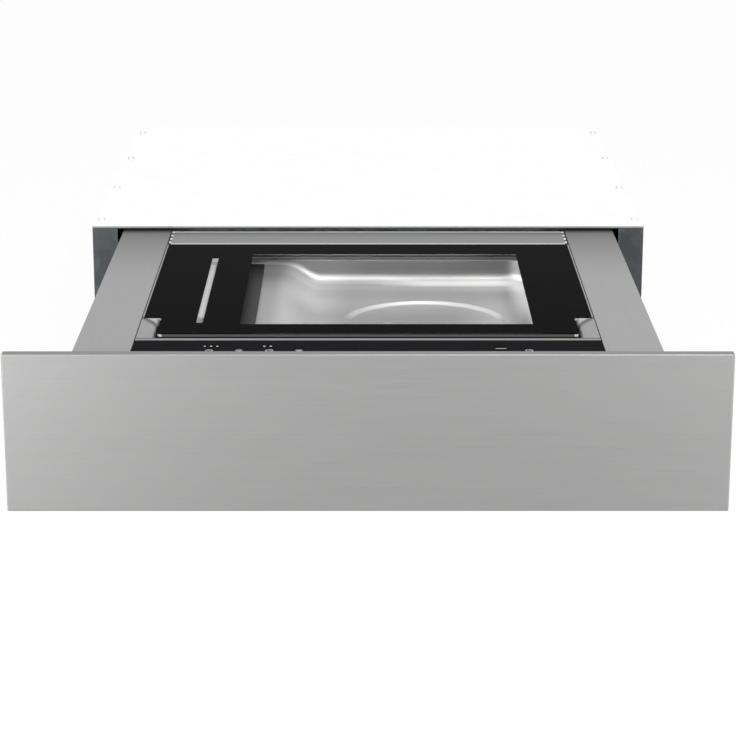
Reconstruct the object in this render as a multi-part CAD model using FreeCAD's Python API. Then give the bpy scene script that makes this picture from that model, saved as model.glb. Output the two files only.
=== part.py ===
import FreeCAD
import Part
import math
import os

# Vacuum sealing drawer for a kitchen niche, shown pulled fully out with its lid shut.
# Millimetres. X runs to the right, Y to the back, Z up. The origin lies in the middle of the
# carcass's front plane, at the level of its underside.
# Drawer pieces are placed by their distance behind the face of the front panel.

# Front panel
FRONT_WIDTH = 597.0
FRONT_HEIGHT = 135.0
FRONT_DEPTH = 20.0
FRONT_LIP = 9.5
FRONT_SHEET = 1.2
FRONT_EDGE_RADIUS = 1.0
FRONT_RAISE = 0.5
FRONT_GAP = 2.0
FRONT_OVERHANG = 23.5
CARRIER_INSET = 7.0
CARRIER_SHEET = 1.5
BUFFER_RADIUS = 5.0
BUFFER_GAP = 0.3

# Carcass
CARCASS_SHEET = 1.0
FLANGE_WIDTH = 25.0
HEM_THICKNESS = 2.2
HEM_DEPTH = 10.0
BASE_LIP = 5.0
SIDE_FOLD = 10.0
SCREW_HEAD_RADIUS = 3.5
SCREW_HEAD = 1.6
SCREW_SHARES = (0.06, 0.35, 0.65, 0.94)
NICHE_HOLE_RADIUS = 2.25
NICHE_HOLE_INSET = 12.5
NICHE_HOLE_LOW = 22.0
NICHE_HOLE_SPACING = 48.0
VENT_COUNT = 14
VENT_WIDTH = 5.0
VENT_HEIGHT = 46.0
VENT_PITCH = 13.0

# Drawer box
DRAWER_LENGTH = 480.0
DRAWER_HELD = 37.0
DRAWER_SHEET = 1.2
DRAWER_UNDERSIDE = 10.0
SIDE_FLANGE = 20.0
REAR_WALL_DROP = 6.0
LATCH_SPACE = 52.0
FLOOR_SLOT_COUNT = 7
FLOOR_SLOT_LENGTH = 60.0
FLOOR_SLOT_WIDTH = 5.0
FLOOR_SLOT_PITCH = 12.0

# Steel deck round the lid
DECK_DROP = 5.0
DECK_OVERHANG = 14.0
DECK_RAIL_WIDTH = 48.0
DECK_STOP = 8.0
DECK_SHEET = 1.2
DECK_OUTER_LIP = 10.5
DECK_INNER_LIP = 6.0
DECK_SEAM = 0.8
FRAME_RIM = 1.2
STRIP_WIDTH = 6.5
FINGER_GAP = 15.5
TROUGH_DEPTH = 24.5
TROUGH_WALL = 3.0
TAB_WIDTH = 15.2
TAB_LENGTH = 66.5
TAB_ROLL = 5.0

# Runners
RUNNER_HEIGHT = 45.0
RUNNER_SHEET = 1.4
RUNNER_THICKNESS = 13.2
RUNNER_DROP = 47.5
RUNNER_OVERLAP = 13.0
RUNNER_START = 12.0
RUNNER_STOP = 2.0
BALL_DIAMETER = 3.2
BALL_CLEARANCE = 0.3
BALL_HOLE_CLEARANCE = 0.15
BALL_COUNT = 7
CAGE_LENGTH = 190.0
CAGE_SHEET = 0.8
CAGE_GAP = 0.4
CAGE_START = 18.0
CAGE_FLANGE = 6.0
RUNNER_FLANGE = 8.0
BRACKET_DEPTH = 30.8
BRACKET_SHEET = 1.5
BRACKET_OVERLAP = 2.0

# Lid
LID_THICKNESS = 8.0
PRINT_THICKNESS = 0.3
LID_CORNER_RADIUS = 3.0
LID_GAP = 0.5
NOTCH_GAP = 1.5
WINDOW_LEFT_MARGIN = 55.0
WINDOW_RIGHT_MARGIN = 16.5
WINDOW_FRONT_MARGIN = 9.0
WINDOW_BACK_MARGIN = 22.0
BAR_SLOT_WIDTH = 5.8
BAR_SLOT_FRONT_MARGIN = 4.0
BAR_SLOT_BACK_MARGIN = 26.0

# Lid hinge
PROFILE_LENGTH = 56.0
PROFILE_DEPTH = 18.5
PROFILE_RADIUS = 5.0
PROFILE_BACK_RADIUS = 1.2
PROFILE_WALL = 2.5
PROFILE_SLOPE = 4.0
PROFILE_INSET = 1.0
PROFILE_TONGUE = 9.0
TONGUE_THICKNESS = 2.4
END_CAP = 2.2
HINGE_SPACE = 37.0
HINGE_INSET = 13.0
HINGE_DROP = 12.0
HINGE_PLATE = 6.0
HINGE_PLATE_GAP = 2.0
HINGE_PLATE_REACH = 12.0
HINGE_PLATE_DROP = 13.0
HINGE_FOOT = 2.5
HINGE_SKIRT = 6.0
PIN_RADIUS = 4.0
PIN_CLEARANCE = 0.06
PIN_BOSS = 5.5
PIN_HOLD = 30.0
SPRING_LENGTH = 15.0
SPRING_WALL = 2.0
SPRING_GAP = 0.4
SPRING_END_GAP = 0.3
PIN_TAIL = 3.0

# Vacuum chamber
CHAMBER_LEFT_MARGIN = 28.5
CHAMBER_RIGHT_MARGIN = 35.5
CHAMBER_FRONT_MARGIN = 20.0
CHAMBER_BACK_MARGIN = 19.0
CHAMBER_FLOOR = 35.0
CHAMBER_LEDGE = 18.0
CHAMBER_SHEET = 1.2
CHAMBER_CORNER = 24.0
CHAMBER_FILLET = 5.0
LEDGE_WIDTH = 81.0
RAMP_WIDTH = 39.0
FLANGE_DROP = 10.8
FLANGE_REACH = 13.0
WELL_RIGHT_MARGIN = 106.0
WELL_BACK_MARGIN = 139.0
WELL_RADIUS = 66.0
WELL_DEPTH = 2.5
PORT_LEFT = 33.7
PORT_FORWARD = 11.0
PORT_RADIUS = 6.0
PORT_CAP = 3.5
PORT_CAP_ROLL = 1.2
PORT_BORE = 1.5
NECK_RADIUS = 4.0
NECK_LENGTH = 12.0
GASKET_WIDTH = 7.0
GASKET_GAP = 0.3
GASKET_INSET = 1.5

# Sealing bar
BAR_INSET = 20.0
BAR_WIDTH = 9.0
BAR_HEIGHT = 4.0
BAR_FRONT_MARGIN = 9.0
BAR_BACK_MARGIN = 10.0
BAR_LIFT = 2.9
BAR_CLEARANCE = 0.3
BAR_SIDE_CLEARANCE = 0.8
CARRIER_WIDTH = 65.0
CARRIER_DROP = 0.3
CARRIER_GAP = 0.5
BAND_WIDTH = 5.0
BAND_INSET = 4.0
BAND_THICKNESS = 0.3
COUNTER_BAR_WIDTH = 13.0
COUNTER_BAR_REACH = 3.0
ROD_RADIUS = 2.5
ROD_LENGTH = 24.0
ROD_INSET = 40.0
ROD_HOLE_CLEARANCE = 0.7
CYLINDER_RADIUS = 8.0
CYLINDER_END = 4.0

# Controls
CONTROL_INSET = 0.2
CONTROL_MARGIN = 4.0
CONTROL_DEPTH = 37.0
CONTROL_GLASS = 3.0
CONTROL_DROP = 0.5
CONTROL_GAP = 0.3
TRAY_DEPTH = 11.0
TRAY_WALL = 1.5
TRAY_FRONT_FLANGE = 2.5
TRAY_BACK_FLANGE = 5.0
TRAY_LEDGE = 2.0
TRAY_POST_RADIUS = 3.0
TRAY_POST_HEIGHT = 3.5
TRAY_POST_SHARES = (-0.85, -0.3, 0.3, 0.85)
CONTROL_BOARD_MARGIN = 4.0

# Pump unit
PUMP_AXIS_SPACE = 80.0
PUMP_AXIS_RISE = 38.8
MOTOR_RADIUS = 34.0
MOTOR_LENGTH = 92.0
MOTOR_WALL = 3.0
MOTOR_FOOT_INSET = 12.0
ROTOR_GAP = 4.0
ROTOR_INSET = 12.0
FIN_COUNT = 9
FIN_PITCH = 9.0
FIN_START = 10.0
FIN_WIDTH = 3.0
FIN_HEIGHT = 5.0
SHAFT_RADIUS = 4.0
SHAFT_CLEARANCE = 0.06
FAN_RADIUS = 30.0
FAN_HUB_RADIUS = 9.0
FAN_RIM = 1.5
FAN_WIDTH = 14.0
FAN_GAP = 4.0
FAN_BLADES = 9
BLADE_THICKNESS = 1.6
BLADE_ANGLE = 35.0
SHAFT_TAIL = 2.0
PUMP_LENGTH = 110.0
PUMP_WIDTH = 72.0
PUMP_HEIGHT = 60.0
PUMP_CORNER = 6.0
PUMP_HEAD_RADIUS = 22.0
PUMP_HEAD = 8.0
GROOVE_COUNT = 8
GROOVE_PITCH = 12.0
GROOVE_WIDTH = 5.0
GROOVE_DEPTH = 14.0
NOZZLE_RADIUS = 3.0
NOZZLE_LENGTH = 12.0
NOZZLE_PLACE = 22.3
FOOT_RADIUS = 7.0
FOOT_HEIGHT = 7.0
FOOT_SPREAD = 22.0
MOTOR_FOOT_PLACE = 22.0
PUMP_FOOT_PLACE = 14.0
HOSE_RADIUS = 5.5
HOSE_WALL = 1.5
HOSE_BEND = 30.0
HOSE_TOP = 5.0
HOSE_END = 2.0

# Electrics
CORE_INSET = 18.0
CORE_PLACE = 42.0
CORE_WIDTH = 80.0
CORE_DEPTH = 50.0
CORE_HEIGHT = 66.0
CORE_LIMB = 12.0
CORE_WINDOW = 18.0
COIL_GAP = 2.0
COIL_REACH = 10.0
COIL_CORNER = 6.0
BOARD_THICKNESS = 1.6
BOARD_LEFT = -100.0
BOARD_WIDTH = 190.0
BOARD_PLACE = 40.0
BOARD_DEPTH = 155.0
BOARD_MARGIN = 8.0
STANDOFF = 6.0
STANDOFF_RADIUS = 3.0
CAPACITOR_RADIUS = 9.0
CAPACITOR_HEIGHT = 30.0
CAPACITOR_PLACE = 30.0
CAPACITOR_PITCH = 24.0
RELAY_LENGTH = 22.0
RELAY_WIDTH = 18.0
RELAY_HEIGHT = 16.0
RELAY_PLACE = 90.0
RELAY_SPACE = 20.0
SINK_LENGTH = 100.0
SINK_WIDTH = 30.0
SINK_HEIGHT = 28.0
SINK_BASE = 5.0
SINK_PLACE = 40.0
SINK_BACK = 25.0
SINK_GAP_COUNT = 10
SINK_GAP = 5.0
SINK_PITCH = 9.0
VALVE_INSET = 90.0
VALVE_PLACE = 150.0
VALVE_SIZE = 40.0
VALVE_HEIGHT = 26.0
VALVE_COIL_RADIUS = 13.0
VALVE_COIL_HEIGHT = 34.0
VALVE_NOZZLE_HEIGHT = 14.0

# Mains inlet and lead
INLET_INSET = 40.0
INLET_Z = 40.0
INLET_WIDTH = 28.0
INLET_HEIGHT = 20.0
INLET_DEPTH = 24.0
INLET_BEZEL = 2.0
BEZEL_REACH = 3.0
SOCKET_WALL = 2.0
SOCKET_FLOOR = 5.0
CONTACT_SIZE = 2.0
CONTACT_HEIGHT = 4.0
CONTACT_LENGTH = 10.0
CONTACT_PITCH = 7.0
CONTACT_OFFSET = 2.0
LEAD_RADIUS = 3.0
LEAD_HOLE_CLEARANCE = 1.0
LEAD_RISE = 14.0
LEAD_STRAIGHT = 30.0
LEAD_FALL = 120.0
LEAD_CLIMB = 100.0
LEAD_SWING = 34.0
LEAD_WAVES = 1.5
LEAD_STEPS = 16
LEAD_ROUNDING = 0.45

# Push latch
LATCH_WIDTH = 40.0
LATCH_HEIGHT = 34.0
LATCH_CORNER = 4.0
LATCH_WALL = 4.0
PLUNGER_RADIUS = 5.0
PLUNGER_HEAD_RADIUS = 8.0
PLUNGER_HEAD = 3.0
PLUNGER_HOLD = 12.0
PLUNGER_STROKE = 5.0
PLUNGER_GAP = 0.3
LATCH_SPRING_RADIUS = 4.4
LATCH_SPRING_WALL = 1.2

# Widths worked out from the sizes above, from the front inwards
CARCASS_WIDTH = FRONT_WIDTH - 2 * FRONT_OVERHANG
OUTER_X = CARCASS_WIDTH / 2 - CARCASS_SHEET - BRACKET_DEPTH
SIDE_X = OUTER_X - RUNNER_THICKNESS
INNER_X = SIDE_X - DRAWER_SHEET
DECK_X = SIDE_X + DECK_OVERHANG
RAIL_INNER_X = DECK_X - DECK_RAIL_WIDTH
FRAME_X = RAIL_INNER_X - DECK_SEAM
RIM_X = FRAME_X - FRAME_RIM
TAB_X = FRAME_X - TAB_WIDTH
LID_X = RIM_X - LID_GAP
CONTROL_X = FRAME_X - CONTROL_INSET
PROFILE_X = LID_X - PROFILE_INSET
HINGE_PLATE_X = RAIL_INNER_X + HINGE_PLATE_GAP
CHAMBER_LEFT = -LID_X + CHAMBER_LEFT_MARGIN
CHAMBER_RIGHT = LID_X - CHAMBER_RIGHT_MARGIN
WINDOW_LEFT = CHAMBER_LEFT + WINDOW_LEFT_MARGIN
WINDOW_RIGHT = CHAMBER_RIGHT - WINDOW_RIGHT_MARGIN
LEDGE_END = CHAMBER_LEFT + LEDGE_WIDTH
RAMP_END = LEDGE_END + RAMP_WIDTH
CARRIER_RIGHT = CHAMBER_LEFT + CARRIER_WIDTH
BAR_X = CHAMBER_LEFT + BAR_INSET
WELL_X = CHAMBER_RIGHT - WELL_RIGHT_MARGIN
PORT_X = WELL_X - PORT_LEFT
MOTOR_RIGHT = PORT_X - NOZZLE_PLACE
MOTOR_LEFT = MOTOR_RIGHT - MOTOR_LENGTH
PUMP_RIGHT = MOTOR_RIGHT + PUMP_LENGTH
INLET_X = -(SIDE_X - INLET_INSET)

# Distances behind the face of the front
CONTROL_FRONT = FRONT_DEPTH + CONTROL_MARGIN
CONTROL_BACK = CONTROL_FRONT + CONTROL_DEPTH
STRIP_BACK = CONTROL_BACK + STRIP_WIDTH
LID_FRONT = STRIP_BACK + FINGER_GAP
TAB_BACK = STRIP_BACK + TAB_LENGTH
DRAWER_BACK = FRONT_DEPTH + DRAWER_LENGTH
DECK_BACK = DRAWER_BACK - DECK_STOP
PROFILE_BACK = DRAWER_BACK - HINGE_SPACE
HINGE_BACK = PROFILE_BACK - HINGE_INSET
LID_BACK = PROFILE_BACK - PROFILE_LENGTH
CHAMBER_FRONT = LID_FRONT + CHAMBER_FRONT_MARGIN
CHAMBER_BACK = LID_BACK - CHAMBER_BACK_MARGIN
TROUGH_BACK = CHAMBER_FRONT - TROUGH_WALL
WINDOW_FRONT = CHAMBER_FRONT + WINDOW_FRONT_MARGIN
WINDOW_BACK = CHAMBER_BACK - WINDOW_BACK_MARGIN
BAR_FRONT = CHAMBER_FRONT + BAR_FRONT_MARGIN
BAR_BACK = CHAMBER_BACK - BAR_BACK_MARGIN
BAR_SLOT_FRONT = BAR_FRONT + BAR_SLOT_FRONT_MARGIN
BAR_SLOT_BACK = BAR_BACK - BAR_SLOT_BACK_MARGIN
WELL_BACK = CHAMBER_BACK - WELL_BACK_MARGIN
PORT_BACK = WELL_BACK - PORT_FORWARD
PUMP_AXIS_BACK = DRAWER_BACK - PUMP_AXIS_SPACE

# Places along row Y
TRAVEL = DRAWER_LENGTH - DRAWER_HELD
CARCASS_DEPTH = DRAWER_LENGTH - FRONT_GAP + LATCH_SPACE
FRONT_Y = -(TRAVEL + FRONT_GAP + FRONT_DEPTH)
RUNNER_LENGTH = TRAVEL + RUNNER_OVERLAP
MIDDLE_SHUT = RUNNER_START + RUNNER_STOP
MIDDLE_LENGTH = RUNNER_LENGTH - 2 * RUNNER_STOP
MIDDLE_Y = MIDDLE_SHUT - TRAVEL / 2
INNER_Y = -TRAVEL
LATCH_Y = CARCASS_DEPTH - CARCASS_SHEET
PLUNGER_TIP = FRONT_Y + DRAWER_BACK + TRAVEL + PLUNGER_GAP
LATCH_FRONT = PLUNGER_TIP + PLUNGER_STROKE + LATCH_WALL

# Heights
CARCASS_HEIGHT = FRONT_HEIGHT
FRONT_TOP = FRONT_RAISE + FRONT_HEIGHT
DECK_Z = FRONT_TOP - DECK_DROP
FLOOR_TOP = DRAWER_UNDERSIDE + DRAWER_SHEET
GLASS_BOTTOM = DECK_Z - LID_THICKNESS
FLANGE_TOP = DECK_Z - FLANGE_DROP
SEAT_Z = FLANGE_TOP - CHAMBER_SHEET
LEDGE_Z = DECK_Z - CHAMBER_LEDGE
BOTTOM_Z = DECK_Z - CHAMBER_FLOOR
WELL_Z = BOTTOM_Z - WELL_DEPTH
BAR_Z = LEDGE_Z + BAR_CLEARANCE
HINGE_Z = DECK_Z - HINGE_DROP
CONTROL_Z = DECK_Z - CONTROL_DROP - CONTROL_GLASS
RUNNER_CENTRE = DECK_Z - RUNNER_DROP
LATCH_Z = CARCASS_SHEET + LATCH_HEIGHT / 2
PUMP_AXIS_Z = FLOOR_TOP + PUMP_AXIS_RISE
PUMP_LOW = PUMP_AXIS_Z - PUMP_HEIGHT / 2
LEAD_EXIT_Z = FLOOR_TOP + LEAD_RISE

# Runner section, from the outer member inwards
BALL_SPACE = BALL_DIAMETER + 2 * BALL_CLEARANCE
OUTER_HALF = RUNNER_HEIGHT / 2
MIDDLE_HALF = OUTER_HALF - RUNNER_SHEET - BALL_SPACE
INNER_HALF = MIDDLE_HALF - RUNNER_SHEET - BALL_SPACE
CAGE_OUTER_X = OUTER_X - RUNNER_SHEET - CAGE_GAP
MIDDLE_X = CAGE_OUTER_X - CAGE_SHEET - CAGE_GAP
CAGE_INNER_X = MIDDLE_X - RUNNER_SHEET - CAGE_GAP
OUTER_ROW = OUTER_HALF - RUNNER_SHEET - BALL_SPACE / 2
INNER_ROW = MIDDLE_HALF - RUNNER_SHEET - BALL_SPACE / 2

# Plain lengths
UP = (0, 0, 1)
BACKWARDS = (0, 1, 0)
RIGHTWARDS = (1, 0, 0)
# Distance by which a cutting tool passes the surface that it cuts
PAST = 1.0


def at(distance):
    """Row Y of a point this far behind the face of the front panel."""
    return FRONT_Y + distance


def block(x0, x1, y0, y1, z0, z1):
    """Box between two corners."""
    return Part.makeBox(x1 - x0, y1 - y0, z1 - z0, FreeCAD.Vector(x0, y0, z0))


def drawer_block(x0, x1, d0, d1, z0, z1):
    """Box of the drawer, its depths given behind the face of the front panel."""
    return block(x0, x1, at(d0), at(d1), z0, z1)


def rod(radius, length, x, y, z, direction):
    """Round bar from a point along a direction."""
    return Part.makeCylinder(radius, length, FreeCAD.Vector(x, y, z), FreeCAD.Vector(*direction))


def rounded(solid, radius, wanted):
    """The solid with those of its edges filleted for which wanted(edge) is true."""
    edges = [edge for edge in solid.Edges if wanted(edge)]
    return solid.makeFillet(radius, edges)


def is_upright(edge):
    """True for a straight edge along Z."""
    span = edge.BoundBox
    return span.XLength < 1e-4 and span.YLength < 1e-4 and span.ZLength > 1e-4


def rounded_slab(x0, x1, d0, d1, z0, z1, radius):
    """Drawer block with its four upright corners rounded."""
    return rounded(drawer_block(x0, x1, d0, d1, z0, z1), radius, is_upright)


def mirrored(shape):
    """The same piece for the other side of the drawer."""
    return shape.mirror(FreeCAD.Vector(0, 0, 0), FreeCAD.Vector(1, 0, 0))


def on_both_sides(shape):
    """A right-hand piece and its left-hand copy as two solids."""
    return Part.makeCompound([shape, mirrored(shape)])


def extruded(edges, direction):
    """Prism of a closed outline."""
    return Part.Face(Part.Wire(edges)).extrude(FreeCAD.Vector(*direction))


def polyline(points):
    """Straight edges through the points."""
    corners = [FreeCAD.Vector(*point) for point in points]
    return [Part.LineSegment(a, b).toShape() for a, b in zip(corners, corners[1:])]


def arc(start, middle, end):
    """Arc edge through three points."""
    return Part.Arc(FreeCAD.Vector(*start), FreeCAD.Vector(*middle), FreeCAD.Vector(*end)).toShape()


# Carcass

def carcass_base():
    """Base plate with a low lip folded up along each side."""
    half = CARCASS_WIDTH / 2
    inner = half - CARCASS_SHEET
    plate = block(-half, half, 0, CARCASS_DEPTH, 0, CARCASS_SHEET)
    lip = block(inner - CARCASS_SHEET, inner, CARCASS_SHEET, CARCASS_DEPTH - CARCASS_SHEET,
                0, CARCASS_SHEET + BASE_LIP)
    return plate.fuse([lip, mirrored(lip)]).removeSplitter()


def carcass_side():
    """Right-hand side wall with its front flange, its top fold and the holes for the niche screws."""
    outer = CARCASS_WIDTH / 2
    inner = outer - CARCASS_SHEET
    low = CARCASS_SHEET
    top = CARCASS_HEIGHT - CARCASS_SHEET
    back = CARCASS_DEPTH - CARCASS_SHEET
    wall = block(inner, outer, 0, back, low, top)
    flange = block(outer - FLANGE_WIDTH, outer, 0, CARCASS_SHEET, low, top)
    fold = block(inner - SIDE_FOLD, inner, 0, back, top - CARCASS_SHEET, top)
    side = wall.fuse([flange, fold]).removeSplitter()
    hem = block(inner - FLANGE_WIDTH, outer, 0, HEM_DEPTH, CARCASS_HEIGHT - HEM_THICKNESS, CARCASS_HEIGHT)
    side = side.cut(hem)
    x = outer - NICHE_HOLE_INSET
    for height in (NICHE_HOLE_LOW, NICHE_HOLE_LOW + NICHE_HOLE_SPACING):
        side = side.cut(rod(NICHE_HOLE_RADIUS, 3 * CARCASS_SHEET, x, -CARCASS_SHEET, height, BACKWARDS))
    return side


def carcass_rear_panel():
    """Back plate with a row of vent slots and the cut-out of the mains inlet."""
    half = CARCASS_WIDTH / 2
    y0 = CARCASS_DEPTH - CARCASS_SHEET
    panel = block(-half, half, y0, CARCASS_DEPTH, CARCASS_SHEET, CARCASS_HEIGHT - CARCASS_SHEET)
    middle = (CARCASS_HEIGHT + VENT_HEIGHT) / 2 - VENT_WIDTH
    cuts = []
    for index in range(VENT_COUNT):
        x = (index - (VENT_COUNT - 1) / 2) * VENT_PITCH
        cuts.append(block(x - VENT_WIDTH / 2, x + VENT_WIDTH / 2, y0 - PAST, CARCASS_DEPTH + PAST,
                          middle - VENT_HEIGHT / 2, middle + VENT_HEIGHT / 2))
    cuts.append(block(INLET_X - INLET_WIDTH / 2, INLET_X + INLET_WIDTH / 2, y0 - PAST, CARCASS_DEPTH + PAST,
                      INLET_Z - INLET_HEIGHT / 2, INLET_Z + INLET_HEIGHT / 2))
    return panel.cut(cuts)


def carcass_top_cover():
    """Top plate with a hemmed front edge."""
    half = CARCASS_WIDTH / 2
    plate = block(-half, half, 0, CARCASS_DEPTH, CARCASS_HEIGHT - CARCASS_SHEET, CARCASS_HEIGHT)
    hem = block(-half, half, 0, HEM_DEPTH, CARCASS_HEIGHT - HEM_THICKNESS, CARCASS_HEIGHT)
    return plate.fuse(hem).removeSplitter()


def carcass_screws():
    """Button-head screws that hold the top cover to the folds of the side walls."""
    x = CARCASS_WIDTH / 2 - CARCASS_SHEET - SIDE_FOLD / 2
    screws = []
    for share in SCREW_SHARES:
        head = rod(SCREW_HEAD_RADIUS, SCREW_HEAD, x, CARCASS_DEPTH * share, CARCASS_HEIGHT, UP)
        top = CARCASS_HEIGHT + SCREW_HEAD
        head = rounded(head, SCREW_HEAD / 2, lambda edge: edge.BoundBox.ZMin > top - 1e-4)
        screws.append(head)
        screws.append(mirrored(head))
    return Part.makeCompound(screws)


def mains_inlet():
    """Three-pin inlet in the rear panel, its socket open to the back."""
    back = CARCASS_DEPTH + INLET_BEZEL
    inner = CARCASS_DEPTH - CARCASS_SHEET - INLET_DEPTH
    x0, x1 = INLET_X - INLET_WIDTH / 2, INLET_X + INLET_WIDTH / 2
    z0, z1 = INLET_Z - INLET_HEIGHT / 2, INLET_Z + INLET_HEIGHT / 2
    body = block(x0, x1, inner, CARCASS_DEPTH, z0, z1)
    reach = BEZEL_REACH
    bezel = block(x0 - reach, x1 + reach, CARCASS_DEPTH, back, z0 - reach, z1 + reach)
    wall = SOCKET_WALL
    floor_y = inner + SOCKET_FLOOR
    socket = block(x0 + wall, x1 - wall, floor_y, back + PAST, z0 + wall, z1 - wall)
    inlet = body.fuse(bezel).removeSplitter().cut(socket)
    contacts = []
    for place, height in ((-1, -1), (0, 1), (1, -1)):
        x = INLET_X + place * CONTACT_PITCH
        z = INLET_Z + height * CONTACT_OFFSET
        contacts.append(block(x - CONTACT_SIZE / 2, x + CONTACT_SIZE / 2,
                              floor_y - PAST, floor_y + CONTACT_LENGTH,
                              z - CONTACT_HEIGHT / 2, z + CONTACT_HEIGHT / 2))
    return inlet.fuse(contacts)


# Runners, right-hand side; their lengths are given along row Y

def channel(x_web, x_tip, half_height, sheet, y0, y1):
    """Rolled channel: a web at x_web and two flanges that reach to x_tip."""
    low, high = min(x_web, x_tip), max(x_web, x_tip)
    outside = block(low, high, y0, y1, RUNNER_CENTRE - half_height, RUNNER_CENTRE + half_height)
    if x_tip > x_web:
        x0, x1 = x_web + sheet, x_tip + PAST
    else:
        x0, x1 = x_tip - PAST, x_web - sheet
    inside = block(x0, x1, y0 - PAST, y1 + PAST, RUNNER_CENTRE - half_height + sheet,
                   RUNNER_CENTRE + half_height - sheet)
    return outside.cut(inside)


def runner_outer():
    """Outer member, fixed to the bracket in the carcass."""
    return channel(OUTER_X, MIDDLE_X - RUNNER_FLANGE, OUTER_HALF, RUNNER_SHEET,
                   RUNNER_START, RUNNER_START + RUNNER_LENGTH)


def runner_middle():
    """Middle member, half way out when the drawer is fully out."""
    return channel(MIDDLE_X, MIDDLE_X - RUNNER_FLANGE, MIDDLE_HALF, RUNNER_SHEET,
                   MIDDLE_Y, MIDDLE_Y + MIDDLE_LENGTH)


def runner_inner():
    """Inner member, fixed to the drawer's side."""
    return channel(SIDE_X, CAGE_INNER_X - CAGE_SHEET - CAGE_GAP, INNER_HALF, RUNNER_SHEET,
                   INNER_Y, INNER_Y + RUNNER_LENGTH)


def ball_cage(x_web, x_tip, row, y0):
    """Retainer with a row of balls above and below; each ball turns free in its own hole."""
    cage = channel(x_web, x_tip, row + CAGE_SHEET / 2, CAGE_SHEET, y0, y0 + CAGE_LENGTH)
    x = (x_web - CAGE_SHEET + x_tip) / 2
    hole_radius = BALL_DIAMETER / 2 + BALL_HOLE_CLEARANCE
    balls = []
    for index in range(BALL_COUNT):
        y = y0 + CAGE_LENGTH * (index + 0.5) / BALL_COUNT
        for z in (RUNNER_CENTRE - row, RUNNER_CENTRE + row):
            hole = rod(hole_radius, 4 * CAGE_SHEET, x, y, z - 2 * CAGE_SHEET, UP)
            cage = cage.cut(hole)
            balls.append(Part.makeSphere(BALL_DIAMETER / 2, FreeCAD.Vector(x, y, z)))
    return Part.makeCompound([cage] + balls)


def ball_cage_outer():
    """Balls between the outer and the middle member."""
    return ball_cage(CAGE_OUTER_X, MIDDLE_X - RUNNER_FLANGE + CAGE_SHEET + CAGE_GAP / 2, OUTER_ROW,
                     RUNNER_START + CAGE_START)


def ball_cage_inner():
    """Balls between the middle and the inner member."""
    return ball_cage(CAGE_INNER_X, CAGE_INNER_X - CAGE_FLANGE, INNER_ROW, MIDDLE_Y + CAGE_START)


def runner_brackets():
    """Channels that carry the outer members at their distance from the carcass walls."""
    x0 = OUTER_X
    x1 = CARCASS_WIDTH / 2 - CARCASS_SHEET
    bracket = channel(x0, x1, OUTER_HALF + BRACKET_SHEET / 2, BRACKET_SHEET,
                      RUNNER_START - BRACKET_OVERLAP, RUNNER_START + RUNNER_LENGTH + BRACKET_OVERLAP)
    return on_both_sides(bracket)


# Push latch at the back of the carcass

def push_latch_housing():
    """Latch body screwed to the base, bored for the plunger and its spring."""
    body = block(-LATCH_WIDTH / 2, LATCH_WIDTH / 2, LATCH_FRONT, LATCH_Y,
                 CARCASS_SHEET, CARCASS_SHEET + LATCH_HEIGHT)
    body = rounded(body, LATCH_CORNER, is_upright)
    depth = LATCH_Y - LATCH_WALL - LATCH_FRONT
    bore = rod(PLUNGER_RADIUS + PIN_CLEARANCE, depth, 0, LATCH_FRONT - PAST, LATCH_Z, BACKWARDS)
    return body.cut(bore)


def push_latch_plunger():
    """Plunger with a flat head that meets the back of the shut drawer."""
    length = LATCH_FRONT - PLUNGER_TIP + PLUNGER_HOLD
    stem = rod(PLUNGER_RADIUS, length, 0, PLUNGER_TIP, LATCH_Z, BACKWARDS)
    head = rod(PLUNGER_HEAD_RADIUS, PLUNGER_HEAD, 0, PLUNGER_TIP, LATCH_Z, BACKWARDS)
    return stem.fuse(head).removeSplitter()


def push_latch_spring():
    """Sleeve of the coil spring that lies in the bore behind the plunger."""
    y0 = LATCH_FRONT + PLUNGER_HOLD + PLUNGER_GAP
    length = LATCH_Y - LATCH_WALL - PAST - PLUNGER_GAP - y0
    outer = rod(LATCH_SPRING_RADIUS, length, 0, y0, LATCH_Z, BACKWARDS)
    inner = rod(LATCH_SPRING_RADIUS - LATCH_SPRING_WALL, length + 2 * PAST, 0, y0 - PAST, LATCH_Z, BACKWARDS)
    return outer.cut(inner)


# Front

def front_panel():
    """Folded steel front: a face and a narrow return along each of its four sides."""
    half = FRONT_WIDTH / 2
    outside = drawer_block(-half, half, 0, FRONT_LIP, FRONT_RAISE, FRONT_TOP)
    face_y = at(0)
    outside = rounded(outside, FRONT_EDGE_RADIUS, lambda edge: edge.BoundBox.YMax < face_y + 1e-4
                      or edge.BoundBox.YLength > FRONT_LIP / 2)
    inside = drawer_block(-half + FRONT_SHEET, half - FRONT_SHEET, FRONT_SHEET, FRONT_LIP + PAST,
                          FRONT_RAISE + FRONT_SHEET, FRONT_TOP - FRONT_SHEET)
    return outside.cut(inside)


def front_carrier():
    """Stiff frame behind the front: a board inside the returns and a folded tray behind it."""
    half = FRONT_WIDTH / 2 - FRONT_SHEET
    board = drawer_block(-half, half, FRONT_SHEET, FRONT_LIP,
                         FRONT_RAISE + FRONT_SHEET, FRONT_TOP - FRONT_SHEET)
    x = FRONT_WIDTH / 2 - CARRIER_INSET
    low = FRONT_RAISE + CARRIER_INSET
    tray = drawer_block(-x, x, FRONT_LIP, FRONT_DEPTH, low, DECK_Z)
    hollow = drawer_block(-x + CARRIER_SHEET, x - CARRIER_SHEET, FRONT_LIP, FRONT_DEPTH - CARRIER_SHEET,
                          low + CARRIER_SHEET, DECK_Z - CARRIER_SHEET)
    return board.fuse(tray).removeSplitter().cut(hollow)


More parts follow.
